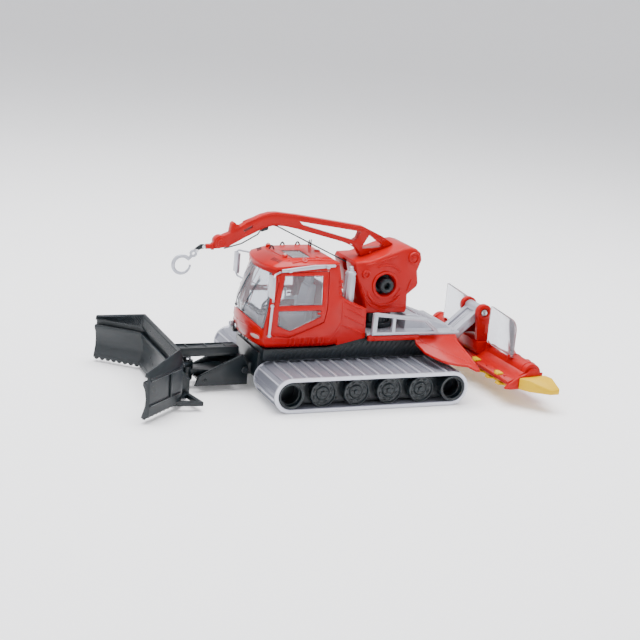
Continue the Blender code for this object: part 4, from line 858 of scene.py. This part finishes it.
def makeCabInside(values):
    centre = at(*values["centre"])
    tilt = Matrix.Translation(centre) @ Matrix.Rotation(math.radians(-values["tilt"]), 4, "Y")
    bpy.ops.object.select_all(action="DESELECT")
    bpy.ops.mesh.primitive_torus_add(major_radius=values["radius"] * mm, minor_radius=values["rim"] * mm,
                                     major_segments=36, minor_segments=10)
    rim = bpy.context.object
    take(rim)
    bpy.ops.object.shade_smooth()
    spokes = []
    for angle in (0.5, 2.6, 4.71):
        end = Vector((math.cos(angle), math.sin(angle), 0)) * values["radius"] * mm
        spokes.append(wire([Vector((0, 0, -0.3 * mm)), end], 0.45, False))
    hub = dome((0, 0, 0), (1.3, 1.3, 0.7), (0, 0, 1), 16)
    wheel = joined([rim, hub] + spokes)
    wheel.data.transform(tilt)
    place("steering_wheel", wheel, "chassis", "black_plastic", rubberLook)
    # seat padding, head rest and arm rests
    parts = [block(at(-24.5, 0, 35.3), (9.0, 9.6, 1.8), 0.7, 3),
             block(at(-18.2, 0, 50.4), (2.4, 6.4, 4.4), 0.9, 3)]
    back = block((0, 0, 0), (1.8, 9.4, 11.5), 0.8, 3)
    back.data.transform(Matrix.Translation(at(-20.2, 0, 41.6)) @ Matrix.Rotation(math.radians(12), 4, "Y"))
    parts.append(back)
    for side in (-1, 1):
        parts.append(block(at(-23.2, side * 6.8, 39.4), (8.0, 1.9, 1.5), 0.6, 3))
        parts.append(block(at(-21.0, side * 6.6, 35.4), (1.6, 1.2, 6.6), 0.4))
        parts.append(wire([at(-26.4, side * 6.8, 40.0), at(-26.9, side * 6.8, 43.0)], 0.4, False))
        parts.append(dome(at(-26.9, side * 6.8, 43.4), (0.8, 0.8, 1.0), (0, 0, 1)))
    place("seat_padding", joined(parts), "chassis", "grey_plastic")
    dash = [block(at(-43.2, y, 36.0), (3.0, 5.0, 1.2), 0.4) for y in (-6.5, 0, 6.5)]
    for y in (-7.8, -6.0, 5.2, 7.0):
        dash.append(turned([(0, 0), (0.7, 0), (0.7, 0.3), (0, 0.4)], at(-41.0, y, 35.2), (0.6, 0, 0.8), 14))
    place("dashboard", joined(dash), "chassis", "grey_plastic", rubberLook)


makeSillRibs(sillRibs)
makeRoofDetail(roofLamps)
makeNose(headLamp)
makeWipers(wiperArms)
makeCabSides(cabSides)
makeExhaustDetail(exhaustPipe)
makeCabInside(steeringWheel)
print("cab dressed")

winchCase = {"axis": (15.0, 49.6), "half": 12.0, "ringInner": 5.1, "ringOuter": 6.7, "arcRadius": 9.4}
thread = {"radius": 0.18, "twist": 1.9, "strands": 3}
boomFittings = {"half": 2.0, "pulley": (-63.0, 67.4), "bracket": (-55.9, 74.4), "edge": 0.22,
                "bolts": ((10.5, 62.6), (23.0, 63.2), (16.6, 68.4))}
hookShape = {"centre": (-79.7, 57.0), "radius": 3.9, "wire": 0.8}


def makeWinchFaces(values):
    x0, z0 = values["axis"]
    face = -values["half"]
    outwards = (0, -1, 0)
    inner, outer = values["ringInner"], values["ringOuter"]
    parts = [turned([(inner, -0.1), (outer, -0.1), (outer - 0.2, 0.55), (inner + 0.4, 0.6), (inner, 0.2)],
                    at(x0, face, z0), outwards, 44)]
    sweep = values["arcRadius"]
    for radius, start, end, thick in ((sweep, 40, 120, 0.6), (sweep + 2.2, 200, 285, 0.5),
                                      (sweep, 195, 330, 0.65), (8.0, 300, 350, 0.4)):
        path = [at(x0 + a, face - 0.05, z0 + b) for a, b in arc(radius, start, end, 14)]
        parts.append(wire(path, thick, True, False, [0.2] + [1.0] * 12 + [0.2]))
    # folds that run out from the ring to the edges of the casting
    for a, b, thick in (((4.2, 59.0), (9.6, 60.0), 0.4), ((9.6, 60.0), (20.0, 63.4), 0.4),
                        ((26.6, 46.6), (28.4, 52.4), 0.5), ((8.2, 40.4), (13.0, 38.6), 0.4),
                        ((13.0, 38.6), (25.8, 39.4), 0.4), ((2.2, 50.6), (5.8, 43.6), 0.5)):
        path = [at(a[0], face - 0.02, a[1]).lerp(at(b[0], face - 0.02, b[1]), t / 5) for t in range(6)]
        parts.append(wire(path, thick, True, False, [0.4, 1, 1, 1, 1, 0.4]))
    for x, z, radius in ((28.2, 62.4, 2.9), (4.6, 54.8, 2.1)):
        ring = [(radius - 0.9, 0), (radius - 0.1, 0), (radius - 0.3, 0.4), (radius - 0.8, 0.4)]
        parts.append(turned(ring, at(x, face - 0.6, z), outwards, 28))
        parts.append(bolt(at(x, face - 0.6, z), outwards, radius * 0.38, 0.4))
    both("winch_faces", joined(parts), "winch", "red_plastic")
    flange = [(9.3, 0), (11.2, 0), (11.2, 0.9), (10.6, 1.3), (9.3, 1.3)]
    foot = turned(flange, at(x0, 0, 36.25), (0, 0, 1), 48)
    seam = wire([at(31.3, 0, 47.5), at(31.3, 0, 56.0)], 0.4, False)
    place("winch_foot", joined([foot, seam]), "winch", "red_plastic")
    lip = [(1.7, 0), (3.0, 0), (3.0, 0.35), (2.7, 0.6), (1.9, 0.6), (1.7, 0.4)]
    socket = [turned(lip, at(x0, face - 2.1, z0), outwards, 28)]
    for k in range(12):
        angle = 2 * math.pi * k / 12
        spot = at(x0 + 3.25 * math.cos(angle), face - 1.2, z0 + 3.25 * math.sin(angle))
        socket.append(block(spot, (0.5, 1.8, 0.5), 0.12))
    place("crank_knob", joined(socket), "drum", "black_plastic")


def twistedThread(start, end, values):
    start, end = Vector(start), Vector(end)
    along = (end - start).normalized()
    side = along.orthogonal().normalized()
    up = along.cross(side)
    length = (end - start).length
    turns = length / (values["twist"] * mm)
    count = int(turns * 8)
    strands = []
    for s in range(values["strands"]):
        path = []
        for i in range(count + 1):
            angle = 2 * math.pi * (turns * i / count + s / values["strands"])
            offset = (side * math.cos(angle) + up * math.sin(angle)) * values["radius"] * 0.95 * mm
            path.append(start + along * length * i / count + offset)
        strands.append(wire(path, values["radius"], False, False, None, 1))
    return joined(strands)


def makeRopes(values):
    runs = {"rope_lower_run": ((2.4, 56.6), (-36.0, 74.4)),
            "rope_upper_run": ((-43.9, 72.4), (-45.2, 70.6), (-52.6, 66.4), (-60.6, 64.2))}
    for name, stops in runs.items():
        path = [at(x, 0, z) for x, z in stops]
        run = joined([twistedThread(a, b, values) for a, b in zip(path, path[1:])])
        place(name + "_thread", run, "winch", "rope")
        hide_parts(name)
    overPulley = ((-36.0, 74.4), (-39.0, 75.3), (-41.6, 74.4), (-44.2, 72.6))
    bend = wire([at(x, 0, z) for x, z in overPulley], values["radius"] * 1.7)
    place("rope_bend", bend, "winch", "rope")


def makeBoomDetail(values):
    half = values["half"]
    pulleyX, pulleyZ = values["pulley"]
    bracketX, bracketZ = values["bracket"]
    parts = []
    for side in (-1, 1):
        outwards = (0, side, 0)
        hub = [(0, -0.1), (2.3, -0.1), (2.3, 0.35), (1.9, 0.6), (1.2, 0.6), (1.0, 0.35), (0, 0.35)]
        parts.append(turned(hub, at(pulleyX, side * half, pulleyZ), outwards, 28))
        for x, z in ((-63.0, 68.9), (-64.3, 66.7), (-61.7, 66.7)):
            parts.append(bolt(at(x, side * 2.3, z), outwards, 0.35, 0.35))
        cap = [(0, -0.1), (1.2, -0.1), (1.2, 0.4), (0.9, 0.6), (0, 0.6)]
        parts.append(turned(cap, at(bracketX, side * half, bracketZ), outwards, 20))
        for x, z in values["bolts"]:
            parts.append(bolt(at(x, side * half, z), outwards, 0.7, 0.45))
        for path in (((-52.0, 76.0), (-44.5, 79.3), (-39.0, 80.3), (-26.0, 79.2), (6.0, 74.4), (15.5, 70.3)),
                     ((-52.0, 70.1), (-42.8, 74.8), (-37.5, 75.8), (-27.0, 74.2), (0.0, 67.3), (4.6, 63.8))):
            parts.append(wire([at(x, side * half, z) for x, z in path], values["edge"]))
    parts.append(turned([(1.1, 0), (1.7, 0), (1.7, 1.0), (1.1, 1.0)], at(-65.6, 0, 65.3), (-1, 0, 0), 20))
    place("boom_fittings", joined(parts), "winch", "red_plastic")


def makeHook(values):
    x0, z0 = values["centre"]
    path = [at(-74.9, 0, 61.4), at(-75.6, 0, 60.7)]
    path += [at(x0 + a, 0, z0 + b) for a, b in arc(values["radius"], 40, 352, 34)]
    taper = [0.8, 0.95] + [1.0 + 0.12 * math.sin(math.pi * i / 33) - 0.5 * (i / 33) ** 3 for i in range(34)]
    bend = wire(path, values["wire"], False, False, taper, 4)
    tip = dome(path[-1], (0.55, 0.55, 0.55), (0, 0, 1), 12)
    eyeRing = [(0.75, -0.6), (1.6, -0.6), (1.75, 0), (1.6, 0.6), (0.75, 0.6), (0.65, 0)]
    eye = turned(eyeRing, at(-74.6, 0, 62.0), (0, 1, 0), 28)
    hook = joined([bend, tip, eye])
    place("hook_bend", hook, "hook", "silver_plastic")
    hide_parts("hook")
    rivet = [(0, -1.25), (0.7, -1.25), (0.75, -1.1), (0.75, 1.1), (0.7, 1.25), (0, 1.25)]
    pins = [turned(rivet, at(x, 0, z), (0, 1, 0), 20) for x, z in ((-70.4, 65.2), (-73.4, 63.4))]
    place("shackle_pins", joined(pins), "hook", "steel_pin")


makeWinchFaces(winchCase)
makeRopes(thread)
makeBoomDetail(boomFittings)
makeHook(hookShape)
print("winch and boom dressed")

bladeEdge = {"lip": -88.5, "half": 27.0, "wingForward": 18.0, "wingOut": 15.5, "toothPitch": 2.7,
             "toothRadius": 1.25}
studPanel = {"pitch": 1.2, "rows": 8, "height": 0.25, "low": 20.6}
pushPins = {"across": 8.4, "rear": (-49.5, 10.0), "front": (-68.0, 5.6), "braces": (-57.0, -66.0, -75.0)}


def bladeLine(values):                            # the blade's front edge from the left wing to the right one
    lip, half = values["lip"], values["half"]
    tip = (lip - values["wingForward"], half + values["wingOut"])
    return [(tip[0], -tip[1]), (lip, -half), (lip, half), (tip[0], tip[1])]


def segments(values):                             # each straight run of the edge with its forward direction
    line = bladeLine(values)
    for a, b in zip(line, line[1:]):
        along = (Vector((*b, 0)) - Vector((*a, 0))).normalized()
        yield Vector((*a, 0)), Vector((*b, 0)), along, Vector((-along.y, along.x, 0))


def makeTeeth(values):
    teeth = []
    for start, end, _, ahead in segments(values):
        length = (end - start).length
        count = int(length / values["toothPitch"])
        for i in range(count):
            spot = start.lerp(end, (i + 0.5) / count)
            radius = values["toothRadius"]
            tooth = turned([(0, -0.75), (radius, -0.75), (radius, -0.15), (radius - 0.3, 0.1), (0, 0.1)],
                           at(spot.x, spot.y, 2.45), ahead, 14)
            teeth.append(tooth)
    place("blade_teeth", joined(teeth), "blade", "black_plastic")


def makeStuds(edge, values):
    # the snow guard's raised studs: a grid whose points rise and fall in step
    tops = [22.2, 26.6, 26.6, 22.2]
    panels = []
    for n, (start, end, _, ahead) in enumerate(segments(edge)):
        wide = int((end - start).length / values["pitch"]) * 2
        rows = values["rows"]
        bpy.ops.object.select_all(action="DESELECT")
        bpy.ops.mesh.primitive_grid_add(x_subdivisions=wide, y_subdivisions=rows, size=1)
        panel = bpy.context.object
        for vertex in panel.data.vertices:
            u, v = vertex.co.x + 0.5, vertex.co.y + 0.5
            i, j = round(u * wide), round(v * rows)
            top = tops[n] + (tops[n + 1] - tops[n]) * u - 0.5
            rise = values["height"] if (i + j) % 2 and 0 < i < wide and 0 < j < rows else -0.2
            spot = start.lerp(end, u * 0.98 + 0.01) + ahead * (rise - 0.55 - 0.25 * v)
            vertex.co = at(spot.x, spot.y, values["low"] + max(top - values["low"], 0.4) * v)
        inEdit(panel, lambda: bpy.ops.mesh.extrude_region_move(
            TRANSFORM_OT_translate={"value": -ahead * 0.3 * mm}), outward)
        panels.append(panel)
    place("guard_studs", joined(panels), "blade", "black_plastic")


def makeBladeBack(values):
    ribs = []
    for n, (start, end, along, ahead) in enumerate(segments(values)):
        back = ahead * -3.55
        for height in (19.0, 8.2):
            if n == 1 and height < 10:
                continue
            a, b = start.lerp(end, 0.02) + back, start.lerp(end, 0.98) + back
            ribs.append(wire([at(a.x, a.y, height), at(b.x, b.y, height)], 0.5, False))
        if n != 1:
            spot = start.lerp(end, 0.34 if n == 2 else 0.66) + back
            rib = block((0, 0, 0), (1.1, 1.2, 10.8), 0.25)
            turn = Matrix.Rotation(math.atan2(along.y, along.x), 4, "Z")
            rib.data.transform(Matrix.Translation(at(spot.x, spot.y, 13.6)) @ turn)
            ribs.append(rib)
        for height, depth in ((17.8, -0.2), (3.6, -0.35)):
            a, b = start.lerp(end, 0.01) + ahead * depth, start.lerp(end, 0.99) + ahead * depth
            ribs.append(wire([at(a.x, a.y, height), at(b.x, b.y, height)], 0.4, False))
    for y in (-27.0, 27.0):
        ribs.append(block(at(-84.7, y, 19.4), (1.0, 2.2, 1.2), 0.3))
    place("blade_ribs", joined(ribs), "blade", "black_plastic")


def makePushDetail(values):
    across = values["across"]
    rearX, rearZ = values["rear"]
    frontX, frontZ = values["front"]
    parts = []
    for side in (-1, 1):
        outwards = (0, side, 0)
        parts.append(bolt(at(rearX, side * across, rearZ), outwards, 1.7, 0.9))
        parts.append(bolt(at(frontX, side * across, frontZ), outwards, 0.8, 0.5, 14))
        lip = [at(x, side * 8.3, z) for x, z in ((-48.2, 12.0), (-51.0, 17.0), (-71.0, 7.5), (-72.5, 3.2))]
        parts.append(wire(lip, 0.35, False))
        parts.append(wire([at(x, side * 3.3, 19.3) for x in (-52.0, -79.2)], 0.35, False))
    for x in values["braces"]:
        parts.append(block(at(x, 0, 19.3), (0.8, 6.4, 0.5), 0.15))
    for y in (-3.4, 3.4):
        for x in (-66.5, -56.0):
            parts.append(turned([(0.85, 0), (1.3, 0), (1.3, 1.4), (0.85, 1.4)], at(x, y, 4.8), (1, 0, 0), 20))
    nut = [(0, 0), (1.5, 0), (1.5, 1.2), (1.1, 1.5), (0, 1.5)]
    parts.append(turned(nut, at(-77.6, 0, 14.8), (0, 0, -1), 20))
    place("push_frame_fittings", joined(parts), "push_frame", "black_plastic")


makeTeeth(bladeEdge)
makeStuds(bladeEdge, studPanel)
makeBladeBack(bladeEdge)
makePushDetail(pushPins)
print("blade dressed")

tillerTube = {"centre": (78.5, 15.0), "half": 46.0, "clips": (-35.0, -14.0, 3.0, 30.0)}
liftArm = {"foot": (56, 20), "head": (72, 34), "edge": 0.35, "ridge": 0.3, "bracket": 8.6}


def makeTillerDetail(values):
    x0, z0 = values["centre"]
    parts, clips = [], []
    for side in (-1, 1):
        outwards = (0, side, 0)
        face = side * (values["half"] + 1.4)
        endCap = [(0, -0.2), (3.4, -0.2), (3.4, 0.15), (3.0, 0.3), (0, 0.3)]
        parts.append(turned(endCap, at(x0 - 0.4, face, z0 - 0.6), outwards, 28))
        for x, z in ((-6.5, -5.0), (-3.2, -4.4)):
            parts.append(bolt(at(x0 + x, face, z0 + z), outwards, 0.6, 0.25, 14))
        for y in (12.5, 30.0, 43.0):
            band = [at(x0 + a, side * y, z0 + b) for a, b in arc(4.65, -5, 165, 12)]
            parts.append(wire(band, 0.35, True))
    for y in range(-40, 41, 8):
        if abs(y) > 11:
            parts.append(block(at(69.6, y, 12.35), (4.6, 0.8, 0.9), 0.2))
    parts.append(wire([at(66.0, -45.5, 11.5), at(66.0, 45.5, 11.5)], 0.4, False))
    place("tiller_bands", joined(parts), "tiller", "red_plastic")
    for y in values["clips"]:
        clips.append(block(at(67.6, y, 12.6), (2.4, 5.0, 1.0), 0.3))
        clips.append(block(at(66.4, y, 11.6), (1.0, 3.2, 2.2), 0.3))
    place("tiller_clips", joined(clips), "tiller", "yellow_plastic")


def makeLiftDetail(values):
    silver, red = [], []
    footX, footZ = values["foot"]
    headX, headZ = values["head"]
    direction = Vector((headX - footX, 0, headZ - footZ)).normalized()
    across = Vector((-direction.z, 0, direction.x))
    for y in (-4.6, 4.6):
        for height in (1.75, -1.75):
            a = at(footX, y, footZ) + (direction * 3.0 + across * height) * mm
            b = at(footX, y, footZ) + (direction * 18.0 + across * height) * mm
            silver.append(wire([a, b], values["edge"], False))
    for y in (-1.7, 0.0, 1.7):
        a = at(footX, y, footZ) + (direction * 3.5 + across * 0.9) * mm
        b = at(footX, y, footZ) + (direction * 17.5 + across * 0.9) * mm
        silver.append(wire([a, b], values["ridge"], False))
    place("lift_arm_ridges", joined(silver), "lift_arm", "silver_plastic")
    for side in (-1, 1):
        outwards = (0, side, 0)
        red.append(turned([(2.4, -0.2), (4.0, -0.2), (4.0, 0.25), (3.6, 0.45), (2.6, 0.45), (2.4, 0.2)],
                          at(headX, side * values["bracket"], headZ), outwards, 32))
        red.append(bolt(at(73.0, side * values["bracket"], 23.0), outwards, 0.7, 0.4))
        red.append(block(at(73.3, side * 8.4, 25.5), (0.8, 0.7, 6.0), 0.2))
    for y in (-32.0, -12.6, 12.6, 32.0):
        red.append(block(at(74.7, y, 19.3), (2.6, 1.6, 1.6), 0.35))
    place("bracket_rings", joined(red), "tiller", "red_plastic")


makeTillerDetail(tillerTube)
makeLiftDetail(liftArm)
print("tiller dressed")

studio = {"flatRadius": 2.2, "sweepRadius": 1.5, "sweepSteps": 12, "floorColour": "#FCFCFD",
          "otherFloorColour": "#FAFAFC", "floorGlow": 0.15, "worldColour": "#FFFFFF", "worldStrength": 0.33,
          "sunStrength": 0.3}
lightBoxes = {                                    # place, what it points at, size in metres and watts
    "overhead_box": ((0.0, 0.10, 0.75), (0, 0, 0), (0.8, 0.6), 13.5),
    "left_box": ((-0.75, -0.45, 0.45), (0, 0, 0.03), (0.5, 0.5), 2.6),
    "right_box": ((0.65, -0.55, 0.40), (0, 0, 0.03), (0.4, 0.5), 1.6),
}
cameraView = {"place": (-0.2407, -0.5295, 0.1873), "turn": 24.3, "down": 15.15, "roll": 5.3, "lens": 72.7}


def makeFloor(values):
    # one sheet of paper, flat under the toy and swept up all round, far behind it
    flat = values["flatRadius"]
    sweep = values["sweepRadius"]
    bpy.ops.object.select_all(action="DESELECT")
    bpy.ops.mesh.primitive_circle_add(vertices=96, radius=flat + sweep, fill_type="NGON",
                                      location=(0, 0, sweep))
    floor = take(bpy.context.object)
    floor.name = "floor"
    bpy.ops.object.transform_apply(location=True, rotation=True, scale=True)
    ring = [(flat + sweep * math.cos(a), sweep * (1 - math.sin(a)))
            for a in (math.pi / 2 * i / values["sweepSteps"] for i in range(values["sweepSteps"] + 1))]

    def sweepDown():
        for (radius, height), (nextRadius, nextHeight) in zip(ring, ring[1:]):
            drop = {"value": (0, 0, nextHeight - height)}
            bpy.ops.mesh.extrude_region_move(TRANSFORM_OT_translate=drop)
            shrink = nextRadius / radius
            bpy.ops.transform.resize(value=(shrink, shrink, 1), center_override=(0, 0, 0))

    inEdit(floor, sweepDown)
    bpy.ops.object.shade_smooth_by_angle(angle=math.radians(35))
    material, tree, out, spot = newMaterial("pale_paper")
    fibre = addNode(tree, "ShaderNodeTexNoise", {"Scale": perSize(40.0)}, {"Vector": spot})
    paper = addNode(tree, "ShaderNodeMix", {"data_type": "RGBA", 6: tone(values["floorColour"]),
                                            7: tone(values["otherFloorColour"])}, {0: fibre.outputs["Fac"]})
    shader = addNode(tree, "ShaderNodeBsdfPrincipled",
                     {"Roughness": 0.75, "Emission Color": tone(values["floorColour"]),
                      "Emission Strength": values["floorGlow"]}, {"Base Color": paper.outputs[2]})
    tree.links.new(shader.outputs["BSDF"], out.inputs["Surface"])
    floor.data.materials.append(material)


def makeLight(name, place, target, size, power):
    bpy.ops.object.select_all(action="DESELECT")
    bpy.ops.object.light_add(type="AREA", location=place)
    lamp = bpy.context.object
    lamp.name = name
    lamp.data.shape = "RECTANGLE"
    lamp.data.size, lamp.data.size_y = size
    lamp.data.energy = power
    lamp.rotation_euler = (Vector(place) - Vector(target)).to_track_quat("Z", "Y").to_euler()


def makeSun(strength):                            # a wide, even light that reaches the back
    bpy.ops.object.select_all(action="DESELECT")
    bpy.ops.object.light_add(type="SUN", location=(0, 0, 1))
    sun = bpy.context.object
    sun.name = "even_light"
    sun.data.energy = strength
    sun.data.angle = math.radians(70)
    sun.rotation_euler = (math.radians(12), math.radians(-8), 0)


def makeStudio(values):
    world = bpy.data.worlds.new("soft_white")
    world.use_nodes = True
    background = world.node_tree.nodes["Background"]
    background.inputs["Color"].default_value = tone(values["worldColour"])
    background.inputs["Strength"].default_value = values["worldStrength"]
    bpy.context.scene.world = world
    makeFloor(values)
    makeSun(values["sunStrength"])
    for name, settings in lightBoxes.items():
        makeLight(name, *settings)


def makeCamera(values):
    bpy.ops.object.select_all(action="DESELECT")
    bpy.ops.object.camera_add(location=values["place"])
    camera = bpy.context.object
    turn = Matrix.Rotation(math.radians(-values["turn"]), 3, "Z")
    tip = Matrix.Rotation(math.radians(90 - values["down"]), 3, "X")
    roll = Matrix.Rotation(math.radians(values["roll"]), 3, "Z")
    camera.rotation_euler = (turn @ tip @ roll).to_euler()
    camera.data.lens = values["lens"]
    camera.data.sensor_width = 36.0
    camera.data.clip_start = 0.01
    bpy.context.scene.camera = camera


makeStudio(studio)
makeCamera(cameraView)
print("studio set")
